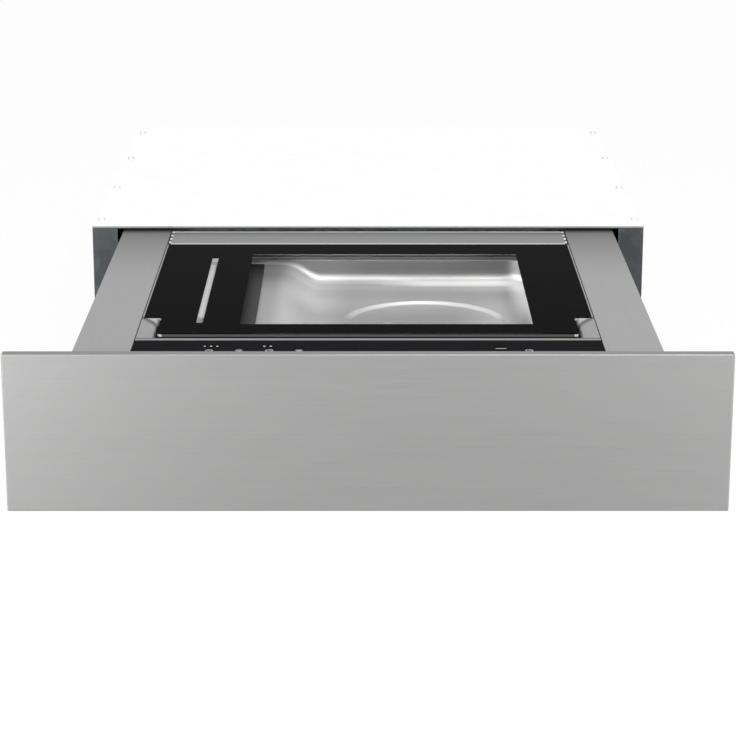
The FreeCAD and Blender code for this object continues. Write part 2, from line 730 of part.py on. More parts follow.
def front_buffers():
    """Soft round buffers that meet the carcass flanges when the drawer shuts."""
    x = CARCASS_WIDTH / 2 - FLANGE_WIDTH / 2
    buffers = []
    for z in (NICHE_HOLE_LOW + NICHE_HOLE_SPACING / 2, CARCASS_HEIGHT - FLANGE_WIDTH):
        disc = rod(BUFFER_RADIUS, FRONT_GAP - BUFFER_GAP, x, at(FRONT_DEPTH), z, BACKWARDS)
        buffers.append(disc)
        buffers.append(mirrored(disc))
    return Part.makeCompound(buffers)


# Drawer box

def drawer_floor():
    """Bottom plate with air slots under the pump."""
    floor = drawer_block(-SIDE_X, SIDE_X, FRONT_DEPTH, DRAWER_BACK, DRAWER_UNDERSIDE, FLOOR_TOP)
    d0 = PUMP_AXIS_BACK - FLOOR_SLOT_LENGTH / 2
    d1 = PUMP_AXIS_BACK + FLOOR_SLOT_LENGTH / 2
    slots = []
    for index in range(FLOOR_SLOT_COUNT):
        x = MOTOR_LEFT - index * FLOOR_SLOT_PITCH
        slots.append(drawer_block(x, x + FLOOR_SLOT_WIDTH, d0, d1, DRAWER_UNDERSIDE - PAST, FLOOR_TOP + PAST))
    return floor.cut(slots)


def drawer_side():
    """Right-hand side with a flange folded inwards under the deck rail."""
    top = DECK_Z - DECK_SHEET
    wall = drawer_block(INNER_X, SIDE_X, FRONT_DEPTH, DRAWER_BACK, FLOOR_TOP, top)
    flange = drawer_block(INNER_X - SIDE_FLANGE, INNER_X, FRONT_DEPTH + DRAWER_SHEET,
                          DRAWER_BACK - DRAWER_SHEET, top - DRAWER_SHEET, top)
    return wall.fuse(flange).removeSplitter()


def drawer_front_wall():
    """Upright plate screwed to the carrier of the front."""
    return drawer_block(-INNER_X, INNER_X, FRONT_DEPTH, FRONT_DEPTH + DRAWER_SHEET, FLOOR_TOP,
                        DECK_Z - DECK_INNER_LIP - CARRIER_GAP)


def drawer_rear_wall():
    """Rear plate with vent slots and a hole for the lead."""
    d0 = DRAWER_BACK - DRAWER_SHEET
    wall = drawer_block(-INNER_X, INNER_X, d0, DRAWER_BACK, FLOOR_TOP, DECK_Z - REAR_WALL_DROP)
    cuts = []
    for index in range(VENT_COUNT):
        x = (index - (VENT_COUNT - 1) / 2) * VENT_PITCH
        cuts.append(drawer_block(x - VENT_WIDTH / 2, x + VENT_WIDTH / 2, d0 - PAST, DRAWER_BACK + PAST,
                                 DECK_Z / 2 - VENT_WIDTH, DECK_Z / 2 - VENT_WIDTH + VENT_HEIGHT))
    cuts.append(rod(LEAD_RADIUS + LEAD_HOLE_CLEARANCE, DRAWER_SHEET + 2 * PAST, INLET_X, at(d0) - PAST,
                    LEAD_EXIT_Z, BACKWARDS))
    return wall.cut(cuts)


# Deck

def deck_rail():
    """Right-hand cover of brushed steel: a top and a lip down along each long edge."""
    outer = DECK_X
    back = DECK_BACK
    top = drawer_block(RAIL_INNER_X, outer, FRONT_DEPTH, back, DECK_Z - DECK_SHEET, DECK_Z)
    lip_out = drawer_block(outer - DECK_SHEET, outer, FRONT_DEPTH, back, DECK_Z - DECK_OUTER_LIP, DECK_Z)
    lip_in = drawer_block(RAIL_INNER_X, RAIL_INNER_X + DECK_SHEET, FRONT_DEPTH, back,
                          DECK_Z - DECK_INNER_LIP, DECK_Z)
    rail = top.fuse([lip_out, lip_in]).removeSplitter()
    return rounded(rail, DECK_SHEET / 2, lambda edge: edge.BoundBox.ZMin > DECK_Z - 1e-4
                   and edge.BoundBox.YLength > DRAWER_LENGTH / 2)


def is_tab_side(edge):
    """Whether an edge runs backwards along the inner side of a tab."""
    box = edge.BoundBox
    return abs(abs(box.XMin) - TAB_X) < 1e-4 and box.XLength < 1e-4 and box.YLength > TAB_LENGTH / 2


def deck_frame():
    """Pressed steel surround: seat of the chamber, rim of the lid, finger trough and narrow strip."""
    seat_bottom = SEAT_Z - DECK_SHEET
    back = LID_BACK - 2 * DECK_SHEET
    trough_z = DECK_Z - TROUGH_DEPTH
    seat = drawer_block(-INNER_X, INNER_X, STRIP_BACK, back, seat_bottom, SEAT_Z)
    rim = drawer_block(RIM_X, FRAME_X, STRIP_BACK, back, seat_bottom, DECK_Z)
    strip = drawer_block(-FRAME_X, FRAME_X, CONTROL_BACK + CONTROL_GAP, STRIP_BACK,
                         DECK_Z - DECK_SHEET, DECK_Z)
    trough = drawer_block(-TAB_X - DECK_SHEET, TAB_X + DECK_SHEET, STRIP_BACK - DECK_SHEET,
                          TROUGH_BACK + DECK_SHEET, trough_z - DECK_SHEET, DECK_Z)
    tab = drawer_block(TAB_X, FRAME_X, STRIP_BACK, TAB_BACK, seat_bottom, DECK_Z)
    under_lid = drawer_block(-INNER_X, INNER_X, LID_FRONT - PAST, TROUGH_BACK + 2 * PAST,
                             SEAT_Z, DECK_Z + PAST)
    trough = trough.cut(under_lid)
    frame = seat.fuse([rim, mirrored(rim), strip, trough, tab, mirrored(tab)])
    hollow = drawer_block(-TAB_X, TAB_X, STRIP_BACK, TROUGH_BACK, trough_z, DECK_Z + PAST)
    hollow = rounded(hollow, TAB_ROLL, lambda edge: edge.BoundBox.ZMax < trough_z + 1e-4)
    grow = 2 * CHAMBER_SHEET
    tub = rounded_slab(CHAMBER_LEFT - grow, CHAMBER_RIGHT + grow, CHAMBER_FRONT - grow, CHAMBER_BACK + grow,
                       trough_z - 2 * DECK_SHEET, DECK_Z + PAST, CHAMBER_CORNER + grow)
    frame = frame.cut([hollow, tub]).removeSplitter()
    tab_y = at(TAB_BACK)
    return rounded(frame, TAB_ROLL, lambda edge: edge.BoundBox.ZMin > DECK_Z - 1e-4
                   and (edge.BoundBox.YMin > tab_y - 1e-4 and edge.BoundBox.YMax < tab_y + 1e-4
                        or is_tab_side(edge)))


# Controls

def control_glass():
    """Strip of black glass over the touch sensors."""
    return drawer_block(-CONTROL_X, CONTROL_X, CONTROL_FRONT, CONTROL_BACK, CONTROL_Z, DECK_Z - CONTROL_DROP)


def control_housing():
    """Tray under the strip that holds the glass and the control board."""
    top = DECK_Z - DECK_SHEET
    floor_z = CONTROL_Z - TRAY_DEPTH
    wall, gap, ledge = TRAY_WALL, CONTROL_GAP, TRAY_LEDGE
    flange = drawer_block(-CONTROL_X, CONTROL_X, CONTROL_FRONT - TRAY_FRONT_FLANGE,
                          CONTROL_BACK + TRAY_BACK_FLANGE, top - wall, top)
    tray = drawer_block(-CONTROL_X, CONTROL_X, CONTROL_FRONT - wall, CONTROL_BACK + wall, floor_z, top)
    pocket = drawer_block(-CONTROL_X - PAST, CONTROL_X + PAST, CONTROL_FRONT - gap, CONTROL_BACK + gap,
                          CONTROL_Z, top + PAST)
    hollow = drawer_block(-CONTROL_X + ledge, CONTROL_X - ledge, CONTROL_FRONT + ledge, CONTROL_BACK - ledge,
                          floor_z + wall, CONTROL_Z + PAST)
    tray = flange.fuse(tray).removeSplitter().cut([pocket, hollow])
    posts = []
    for share in TRAY_POST_SHARES:
        posts.append(rod(TRAY_POST_RADIUS, TRAY_POST_HEIGHT + wall, CONTROL_X * share,
                         at((CONTROL_FRONT + CONTROL_BACK) / 2), floor_z, UP))
    return tray.fuse(posts).removeSplitter()


def control_board():
    """Circuit board of the touch sensors, resting on the posts of its tray."""
    z = CONTROL_Z - TRAY_DEPTH + TRAY_WALL + TRAY_POST_HEIGHT
    margin = CONTROL_BOARD_MARGIN
    return drawer_block(-CONTROL_X + margin, CONTROL_X - margin,
                        CONTROL_FRONT + margin, CONTROL_BACK - margin, z, z + BOARD_THICKNESS)


# Chamber

def chamber_form(grow, top):
    """Room of the chamber, or with grow its outside: floor, ramp up to the ledge, round corners, well."""
    left, right = CHAMBER_LEFT - grow, CHAMBER_RIGHT + grow
    d0, d1 = CHAMBER_FRONT - grow, CHAMBER_BACK + grow
    y0 = at(d0)
    ledge, floor = LEDGE_Z - grow, BOTTOM_Z - grow
    run, rise = RAMP_END - LEDGE_END, ledge - floor
    bend = (run * run + rise * rise) / (4 * rise)
    half_turn = math.atan2(rise, run)
    dx, dz = bend * math.sin(half_turn), bend * (1 - math.cos(half_turn))
    middle = ((LEDGE_END + RAMP_END) / 2, y0, (ledge + floor) / 2)
    outline = polyline([(RAMP_END, y0, floor), (right, y0, floor), (right, y0, top), (left, y0, top),
                        (left, y0, ledge), (LEDGE_END, y0, ledge)])
    outline.append(arc((LEDGE_END, y0, ledge), (LEDGE_END + dx, y0, ledge - dz), middle))
    outline.append(arc(middle, (RAMP_END - dx, y0, floor + dz), (RAMP_END, y0, floor)))
    room = extruded(outline, (0, d1 - d0, 0))
    corners = rounded_slab(left, right, d0, d1, floor - PAST, top, CHAMBER_CORNER + grow)
    room = room.common(corners).removeSplitter()
    low = []
    for edge in room.Edges:
        span = edge.BoundBox
        on_wall = span.ZMax < ledge + 1e-3
        inside = span.XLength < 1e-3 and left + PAST < span.XMin < right - PAST
        if on_wall and not inside:
            low.append(edge)
    room = room.makeFillet(CHAMBER_FILLET + grow, low)
    well = rod(WELL_RADIUS + grow, WELL_DEPTH + PAST, WELL_X, at(WELL_BACK), WELL_Z - grow, UP)
    return room.fuse(well).removeSplitter()


def chamber_tub():
    """Drawn steel tub with a flat flange; bored for the suction port and the rods of the sealing bar."""
    reach = FLANGE_REACH
    flange = rounded_slab(CHAMBER_LEFT - reach, CHAMBER_RIGHT + reach, CHAMBER_FRONT - reach,
                          CHAMBER_BACK + reach, SEAT_Z, FLANGE_TOP, CHAMBER_CORNER + reach)
    tub = chamber_form(CHAMBER_SHEET, FLANGE_TOP).fuse(flange)
    tub = tub.cut(chamber_form(0, FLANGE_TOP + PAST))
    depth = CHAMBER_SHEET + 2 * PAST
    holes = [rod(NECK_RADIUS, depth, PORT_X, at(PORT_BACK), WELL_Z - CHAMBER_SHEET - PAST, UP)]
    for distance in (BAR_FRONT + ROD_INSET, BAR_BACK - ROD_INSET):
        holes.append(rod(ROD_RADIUS + ROD_HOLE_CLEARANCE, depth, BAR_X, at(distance),
                         LEDGE_Z - CHAMBER_SHEET - PAST, UP))
    return tub.cut(holes)


def chamber_gasket():
    """Silicone seal on the flange, just under the shut lid."""
    near = GASKET_INSET
    far = GASKET_INSET + GASKET_WIDTH
    top = GLASS_BOTTOM - GASKET_GAP
    outer = rounded_slab(CHAMBER_LEFT - far, CHAMBER_RIGHT + far, CHAMBER_FRONT - far, CHAMBER_BACK + far,
                         FLANGE_TOP, top, CHAMBER_CORNER + far)
    inner = rounded_slab(CHAMBER_LEFT - near, CHAMBER_RIGHT + near, CHAMBER_FRONT - near, CHAMBER_BACK + near,
                         FLANGE_TOP - PAST, top + PAST, CHAMBER_CORNER + near)
    return outer.cut(inner)


def suction_port():
    """Low round cap in the well, its neck going down through the floor to a hose barb."""
    y = at(PORT_BACK)
    cap = rod(PORT_RADIUS, PORT_CAP, PORT_X, y, WELL_Z, UP)
    cap = rounded(cap, PORT_CAP_ROLL, lambda edge: edge.BoundBox.ZMin > WELL_Z + PORT_CAP - 1e-4)
    neck = rod(NECK_RADIUS, NECK_LENGTH, PORT_X, y, WELL_Z - NECK_LENGTH, UP)
    bore = rod(PORT_BORE, NECK_LENGTH + PAST, PORT_X, y, WELL_Z - NECK_LENGTH - PAST, UP)
    return cap.fuse(neck).removeSplitter().cut(bore)


# Sealing bar

def sealing_bar_carrier():
    """Black moulding on the ledge with the slot that guides the bar."""
    top = BAR_Z + BAR_HEIGHT - CARRIER_DROP
    inset = CHAMBER_FILLET + CARRIER_GAP
    left = CHAMBER_LEFT + inset
    carrier = drawer_block(left, CARRIER_RIGHT, CHAMBER_FRONT + inset, CHAMBER_BACK - inset, LEDGE_Z, top)
    carrier = rounded(carrier, CHAMBER_CORNER - inset,
                      lambda edge: is_upright(edge) and edge.BoundBox.XMax < left + PAST)
    reach = BAR_WIDTH / 2 + BAR_SIDE_CLEARANCE
    slot = drawer_block(BAR_X - reach, BAR_X + reach, BAR_FRONT - BAR_SIDE_CLEARANCE,
                        BAR_BACK + BAR_SIDE_CLEARANCE, LEDGE_Z - PAST, top + PAST)
    return carrier.cut(slot)


def sealing_bar():
    """Aluminium bar with the two rods that lift it."""
    bar = drawer_block(BAR_X - BAR_WIDTH / 2, BAR_X + BAR_WIDTH / 2, BAR_FRONT, BAR_BACK,
                       BAR_Z, BAR_Z + BAR_HEIGHT)
    rods = []
    for distance in (BAR_FRONT + ROD_INSET, BAR_BACK - ROD_INSET):
        rods.append(rod(ROD_RADIUS, ROD_LENGTH + PAST, BAR_X, at(distance), BAR_Z - ROD_LENGTH, UP))
    return bar.fuse(rods).removeSplitter()


def heating_band():
    """Flat heating band along the top of the bar."""
    z = BAR_Z + BAR_HEIGHT
    return drawer_block(BAR_X - BAND_WIDTH / 2, BAR_X + BAND_WIDTH / 2, BAR_FRONT + BAND_INSET,
                        BAR_BACK - BAND_INSET, z, z + BAND_THICKNESS)


def bar_lift_cylinders():
    """Small cylinders under the ledge in which the rods of the sealing bar slide."""
    top = LEDGE_Z - CHAMBER_SHEET
    low = BAR_Z - ROD_LENGTH - CYLINDER_END
    cylinders = []
    for distance in (BAR_FRONT + ROD_INSET, BAR_BACK - ROD_INSET):
        body = rod(CYLINDER_RADIUS, top - low, BAR_X, at(distance), low, UP)
        bore = rod(ROD_RADIUS + SHAFT_CLEARANCE, top - low, BAR_X, at(distance), low + CYLINDER_END / 2, UP)
        cylinders.append(body.cut(bore))
    return Part.makeCompound(cylinders)


# Lid

def lid_outline(z0, z1):
    """Lid plate with round corners and a notch at each front corner."""
    plate = drawer_block(-LID_X, LID_X, LID_FRONT, LID_BACK, z0, z1)
    notch = drawer_block(TAB_X - NOTCH_GAP, LID_X + PAST, LID_FRONT - PAST, TAB_BACK + NOTCH_GAP,
                         z0 - PAST, z1 + PAST)
    plate = plate.cut([notch, mirrored(notch)])
    back_y = at(LID_BACK)
    return rounded(plate, LID_CORNER_RADIUS,
                   lambda edge: is_upright(edge) and edge.BoundBox.YMax < back_y - PAST)


def lid_glass():
    """Thick toughened glass plate of the lid."""
    return lid_outline(GLASS_BOTTOM, DECK_Z - PRINT_THICKNESS)


def lid_print():
    """Black enamel on the glass, open at the window and at the slot over the sealing bar."""
    enamel = lid_outline(DECK_Z - PRINT_THICKNESS, DECK_Z)
    low, high = DECK_Z - PAST, DECK_Z + PAST
    window = drawer_block(WINDOW_LEFT, WINDOW_RIGHT, WINDOW_FRONT, WINDOW_BACK, low, high)
    slot = drawer_block(BAR_X - BAR_SLOT_WIDTH / 2, BAR_X + BAR_SLOT_WIDTH / 2, BAR_SLOT_FRONT, BAR_SLOT_BACK,
                        low, high)
    return enamel.cut([window, slot])


def counter_bar():
    """Silicone-faced bar under the glass against which the sealing bar presses."""
    low = BAR_Z + BAR_HEIGHT + BAND_THICKNESS + BAR_LIFT + BAR_CLEARANCE
    half = COUNTER_BAR_WIDTH / 2
    return drawer_block(BAR_X - half, BAR_X + half,
                        BAR_FRONT - COUNTER_BAR_REACH, BAR_BACK + COUNTER_BAR_REACH, low, GLASS_BOTTOM)


def profile_outline(x):
    """Cross-section of the hinge profile in the plane X = x."""
    front, back = at(LID_BACK), at(PROFILE_BACK)
    tongue = front - PROFILE_TONGUE
    low = DECK_Z - PROFILE_DEPTH
    r = PROFILE_RADIUS
    k = r * (1 - math.sqrt(0.5))
    tongue_z = GLASS_BOTTOM - TONGUE_THICKNESS
    edges = polyline([(x, front, DECK_Z - r), (x, front, GLASS_BOTTOM), (x, tongue, GLASS_BOTTOM),
                      (x, tongue, tongue_z), (x, front, tongue_z), (x, front + PROFILE_SLOPE, low),
                      (x, back - r, low)])
    edges.append(arc((x, back - r, low), (x, back - k, low + k), (x, back, low + r)))
    small = PROFILE_BACK_RADIUS
    cut = small * (1 - math.sqrt(0.5))
    edges += polyline([(x, back, low + r), (x, back, DECK_Z - small)])
    edges.append(arc((x, back, DECK_Z - small), (x, back - cut, DECK_Z - cut), (x, back - small, DECK_Z)))
    edges += polyline([(x, back - small, DECK_Z), (x, front + r, DECK_Z)])
    edges.append(arc((x, front + r, DECK_Z), (x, front + k, DECK_Z - k), (x, front, DECK_Z - r)))
    return edges


def hinge_profile():
    """Hollow profile along the back of the lid; the glass is bonded to its tongue."""
    solid = extruded(profile_outline(-PROFILE_X), (2 * PROFILE_X, 0, 0))
    low = DECK_Z - PROFILE_DEPTH
    wall = PROFILE_WALL
    start, length = -PROFILE_X - PAST, 2 * (PROFILE_X + PAST)
    hollow = drawer_block(start, start + length, LID_BACK + wall + PROFILE_SLOPE / 2, PROFILE_BACK - wall,
                          low + wall, DECK_Z - wall)
    hollow = rounded(hollow, PROFILE_RADIUS - wall, lambda edge: edge.BoundBox.XLength > PROFILE_X)
    y, z = at(HINGE_BACK), HINGE_Z
    hollow = hollow.cut(rod(PIN_BOSS, length, start, y, z, RIGHTWARDS))
    bore = rod(PIN_RADIUS, length, start, y, z, RIGHTWARDS)
    return solid.cut([hollow, bore])


def hinge_end_caps():
    """Dark caps on the ends of the hinge profile."""
    cap = extruded(profile_outline(PROFILE_X), (END_CAP, 0, 0))
    start, end = PROFILE_X - PAST, PROFILE_X + END_CAP + PAST
    tongue = drawer_block(start, end, LID_BACK - PROFILE_TONGUE - PAST, LID_BACK + CARRIER_GAP,
                          DECK_Z - PROFILE_DEPTH - PAST, DECK_Z + PAST)
    bore = rod(PIN_RADIUS, end - start, start, at(HINGE_BACK), HINGE_Z, RIGHTWARDS)
    return on_both_sides(cap.cut([tongue, bore]))


def hinge_pins():
    """Pins that are pressed into the profile and turn in the brackets of the drawer."""
    start = PROFILE_X - PIN_HOLD
    end = HINGE_PLATE_X + HINGE_PLATE + SPRING_END_GAP + SPRING_LENGTH + PIN_TAIL
    return on_both_sides(rod(PIN_RADIUS, end - start, start, at(HINGE_BACK), HINGE_Z, RIGHTWARDS))


def hinge_brackets():
    """Bored plates beside the lid, each on a foot that reaches the drawer's side."""
    d0, d1 = HINGE_BACK - HINGE_PLATE_REACH, HINGE_BACK + HINGE_PLATE_REACH
    low, high = HINGE_Z - HINGE_PLATE_DROP, DECK_Z - 2 * DECK_SHEET - PAST
    plate = drawer_block(HINGE_PLATE_X, HINGE_PLATE_X + HINGE_PLATE, d0, d1, low, high)
    foot = drawer_block(HINGE_PLATE_X, INNER_X, d0, d1, low, low + HINGE_FOOT)
    base = drawer_block(INNER_X - HINGE_FOOT, INNER_X, d0, d1, low - HINGE_SKIRT, high)
    bore = rod(PIN_RADIUS + PIN_CLEARANCE, HINGE_PLATE + 2 * PAST, HINGE_PLATE_X - PAST,
               at(HINGE_BACK), HINGE_Z, RIGHTWARDS)
    return on_both_sides(plate.fuse([foot, base]).removeSplitter().cut(bore))


def hinge_springs():
    """Sleeves of the torsion springs that balance the lid, round the free ends of the pins."""
    x0 = HINGE_PLATE_X + HINGE_PLATE + SPRING_END_GAP
    y, z = at(HINGE_BACK), HINGE_Z
    inside = PIN_RADIUS + SPRING_GAP
    outer = rod(inside + SPRING_WALL, SPRING_LENGTH, x0, y, z, RIGHTWARDS)
    inner = rod(inside, SPRING_LENGTH + 2 * PAST, x0 - PAST, y, z, RIGHTWARDS)
    return on_both_sides(outer.cut(inner))


# Pump unit

def motor_housing():
    """Round motor shell with a bearing bore in each end, on two cast feet."""
    y, z = at(PUMP_AXIS_BACK), PUMP_AXIS_Z
    wall = MOTOR_WALL
    shell = rod(MOTOR_RADIUS, MOTOR_LENGTH, MOTOR_LEFT, y, z, RIGHTWARDS)
    reach = FOOT_SPREAD + FOOT_RADIUS
    feet = block(MOTOR_LEFT + MOTOR_FOOT_INSET, MOTOR_RIGHT - MOTOR_FOOT_INSET, y - reach, y + reach,
                 FLOOR_TOP + FOOT_HEIGHT, z)
    room = rod(MOTOR_RADIUS - wall, MOTOR_LENGTH - 2 * wall, MOTOR_LEFT + wall, y, z, RIGHTWARDS)
    bore = rod(SHAFT_RADIUS + SHAFT_CLEARANCE, MOTOR_LENGTH + 2 * PAST, MOTOR_LEFT - PAST, y, z, RIGHTWARDS)
    high = MOTOR_RADIUS + FIN_HEIGHT
    fins = []
    for index in range(FIN_COUNT):
        x = MOTOR_LEFT + FIN_START + index * FIN_PITCH
        ring = rod(high, FIN_WIDTH, x, y, z, RIGHTWARDS)
        ring = ring.cut(rod(MOTOR_RADIUS - PAST, FIN_WIDTH, x, y, z, RIGHTWARDS))
        fins.append(ring.common(block(x, x + FIN_WIDTH, y - high, y + high, z, z + high)))
    return shell.fuse([feet] + fins).removeSplitter().cut([room, bore])


def motor_shaft():
    """Motor shaft with its rotor pack, running in the housing and out to the fan."""
    y, z = at(PUMP_AXIS_BACK), PUMP_AXIS_Z
    start = MOTOR_LEFT - FAN_GAP - FAN_WIDTH - SHAFT_TAIL
    shaft = rod(SHAFT_RADIUS, MOTOR_RIGHT - start, start, y, z, RIGHTWARDS)
    pack = rod(MOTOR_RADIUS - MOTOR_WALL - ROTOR_GAP, MOTOR_LENGTH - 2 * ROTOR_INSET,
               MOTOR_LEFT + ROTOR_INSET, y, z, RIGHTWARDS)
    return shaft.fuse(pack).removeSplitter()


def cooling_fan():
    """Fan on the free end of the shaft: a hub, blades and a thin rim."""
    y, z = at(PUMP_AXIS_BACK), PUMP_AXIS_Z
    x0 = MOTOR_LEFT - FAN_WIDTH - FAN_GAP
    inside = FAN_RADIUS - FAN_RIM
    hub = rod(FAN_HUB_RADIUS, FAN_WIDTH, x0, y, z, RIGHTWARDS)
    rim = rod(FAN_RADIUS, FAN_WIDTH, x0, y, z, RIGHTWARDS).cut(rod(inside, FAN_WIDTH, x0, y, z, RIGHTWARDS))
    blade = block(x0, x0 + FAN_WIDTH, y - BLADE_THICKNESS / 2, y + BLADE_THICKNESS / 2,
                  z + FAN_HUB_RADIUS - PAST, z + FAN_RADIUS - PAST)
    blade.rotate(FreeCAD.Vector(x0 + FAN_WIDTH / 2, y, z), FreeCAD.Vector(*UP), BLADE_ANGLE)
    blade = blade.common(rod(FAN_RADIUS - PAST, FAN_WIDTH, x0, y, z, RIGHTWARDS))
    pieces = [rim]
    for index in range(FAN_BLADES):
        copy = blade.copy()
        copy.rotate(FreeCAD.Vector(x0, y, z), FreeCAD.Vector(*RIGHTWARDS), 360 * index / FAN_BLADES)
        pieces.append(copy)
    fan = hub.fuse(pieces).removeSplitter()
    return fan.cut(rod(SHAFT_RADIUS, FAN_WIDTH + 2 * PAST, x0 - PAST, y, z, RIGHTWARDS))


def pump_body():
    """Ribbed pump casting beside the motor, with its inlet nozzle towards the front."""
    y = at(PUMP_AXIS_BACK)
    front, back = y - PUMP_WIDTH / 2, y + PUMP_WIDTH / 2
    high = PUMP_LOW + PUMP_HEIGHT
    body = block(MOTOR_RIGHT, PUMP_RIGHT, front, back, PUMP_LOW, high)
    body = rounded(body, PUMP_CORNER, is_upright)
    grooves = []
    for index in range(GROOVE_COUNT):
        x = MOTOR_RIGHT + (index + 1) * GROOVE_PITCH
        grooves.append(block(x, x + GROOVE_WIDTH, front - PAST, back + PAST,
                             high - GROOVE_DEPTH, high + PAST))
    body = body.cut(grooves)
    nozzle = rod(NOZZLE_RADIUS, NOZZLE_LENGTH + PAST, PORT_X, front - NOZZLE_LENGTH, PUMP_AXIS_Z, BACKWARDS)
    head = rod(PUMP_HEAD_RADIUS, PUMP_HEAD + PAST, PUMP_RIGHT - PAST, y, PUMP_AXIS_Z, RIGHTWARDS)
    return body.fuse([nozzle, head]).removeSplitter()


def pump_feet():
    """Rubber feet between the pump unit and the drawer's floor."""
    y = at(PUMP_AXIS_BACK)
    motor_top = FLOOR_TOP + FOOT_HEIGHT
    feet = []
    for x, top in ((MOTOR_LEFT + MOTOR_FOOT_PLACE, motor_top), (MOTOR_RIGHT - MOTOR_FOOT_PLACE, motor_top),
                   (MOTOR_RIGHT + PUMP_FOOT_PLACE, PUMP_LOW), (PUMP_RIGHT - PUMP_FOOT_PLACE, PUMP_LOW)):
        for side in (-1, 1):
            feet.append(rod(FOOT_RADIUS, top - FLOOR_TOP, x, y + side * FOOT_SPREAD, FLOOR_TOP, UP))
    return Part.makeCompound(feet)


def suction_hose():
    """Silicone hose from the barb of the port, down and back to the pump's nozzle."""
    y0 = at(PORT_BACK)
    y1 = at(PUMP_AXIS_BACK) - PUMP_WIDTH / 2 - HOSE_END
    top, low = WELL_Z - HOSE_TOP, PUMP_AXIS_Z
    bend = min(HOSE_BEND, top - low - HOSE_END)
    k = bend * (1 - math.sqrt(0.5))
    path = polyline([(PORT_X, y0, top), (PORT_X, y0, low + bend)])
    path.append(arc((PORT_X, y0, low + bend), (PORT_X, y0 + k, low + k), (PORT_X, y0 + bend, low)))
    path += polyline([(PORT_X, y0 + bend, low), (PORT_X, y1, low)])
    wire = Part.Wire(path)
    start = FreeCAD.Vector(PORT_X, y0, top)
    tubes = []
    for radius in (HOSE_RADIUS, HOSE_RADIUS - HOSE_WALL):
        ring = Part.Wire([Part.makeCircle(radius, start, FreeCAD.Vector(*UP))])
        tubes.append(wire.makePipeShell([ring], True, False))
    return tubes[0].cut(tubes[1])


# Electrics

def transformer():
    """Laminated core with a coil on its middle limb."""
    x0 = -(SIDE_X - CORE_INSET)
    x1 = x0 + CORE_WIDTH
    d0 = FRONT_DEPTH + CORE_PLACE
    d1 = d0 + CORE_DEPTH
    low, high = FLOOR_TOP + CORE_LIMB, FLOOR_TOP + CORE_HEIGHT - CORE_LIMB
    core = drawer_block(x0, x1, d0, d1, FLOOR_TOP, FLOOR_TOP + CORE_HEIGHT)
    windows = []
    for x in (x0 + CORE_LIMB, x1 - CORE_LIMB - CORE_WINDOW):
        windows.append(drawer_block(x, x + CORE_WINDOW, d0 - PAST, d1 + PAST, low, high))
    core = core.cut(windows)
    inset = CORE_LIMB + COIL_GAP
    coil = drawer_block(x0 + inset, x1 - inset, d0 - COIL_REACH, d1 + COIL_REACH,
                        low + COIL_GAP, high - COIL_GAP)
    coil = rounded(coil, COIL_CORNER, is_upright)
    return core.fuse(coil).removeSplitter()


def power_board():
    """Power board on standoffs with its capacitors, relays and heat sink."""
    x0, x1 = BOARD_LEFT, BOARD_LEFT + BOARD_WIDTH
    d0 = FRONT_DEPTH + BOARD_PLACE
    d1 = d0 + BOARD_DEPTH
    low = FLOOR_TOP + STANDOFF
    top = low + BOARD_THICKNESS
    pieces = [drawer_block(x0, x1, d0, d1, low, top)]
    for x in (x0 + BOARD_MARGIN, x1 - BOARD_MARGIN):
        for d in (d0 + BOARD_MARGIN, d1 - BOARD_MARGIN):
            pieces.append(rod(STANDOFF_RADIUS, STANDOFF, x, at(d), FLOOR_TOP, UP))
    for index in range(2):
        x = x0 + CAPACITOR_PLACE + index * CAPACITOR_PITCH
        pieces.append(rod(CAPACITOR_RADIUS, CAPACITOR_HEIGHT, x, at(d0 + CAPACITOR_PLACE), top, UP))
    for column in range(2):
        for row in range(2):
            x = x0 + RELAY_PLACE + column * (RELAY_LENGTH + BOARD_MARGIN)
            d = d0 + RELAY_SPACE + row * (RELAY_WIDTH + BOARD_MARGIN)
            pieces.append(drawer_block(x, x + RELAY_LENGTH, d, d + RELAY_WIDTH, top, top + RELAY_HEIGHT))
    x = x0 + SINK_PLACE
    back = d1 - SINK_BACK
    sink = drawer_block(x, x + SINK_LENGTH, back - SINK_WIDTH, back, top, top + SINK_HEIGHT)
    gaps = []
    for index in range(SINK_GAP_COUNT):
        gap_x = x + (index + 1) * SINK_PITCH - SINK_PITCH / 2
        gaps.append(drawer_block(gap_x, gap_x + SINK_GAP, back - SINK_WIDTH - PAST, back + PAST,
                                 top + SINK_BASE, top + SINK_HEIGHT + PAST))
    pieces.append(sink.cut(gaps))
    return Part.makeCompound(pieces)


def valve_block():
    """Vent valve: a block with a round solenoid on top."""
    x = SIDE_X - VALVE_INSET
    d0 = FRONT_DEPTH + VALVE_PLACE
    half = VALVE_SIZE / 2
    top = FLOOR_TOP + VALVE_HEIGHT
    body = drawer_block(x - half, x + half, d0, d0 + VALVE_SIZE, FLOOR_TOP, top)
    coil = rod(VALVE_COIL_RADIUS, VALVE_COIL_HEIGHT, x, at(d0 + half), top, UP)
    nozzle = rod(NOZZLE_RADIUS, NOZZLE_LENGTH, x, at(d0 + VALVE_SIZE), FLOOR_TOP + VALVE_NOZZLE_HEIGHT,
                 BACKWARDS)
    return body.fuse([coil, nozzle]).removeSplitter()


def eased(share):
    """Smooth step from 0 to 1 as the share goes from 0 to 1."""
    share = min(max(share, 0), 1)
    return share * share * (3 - 2 * share)


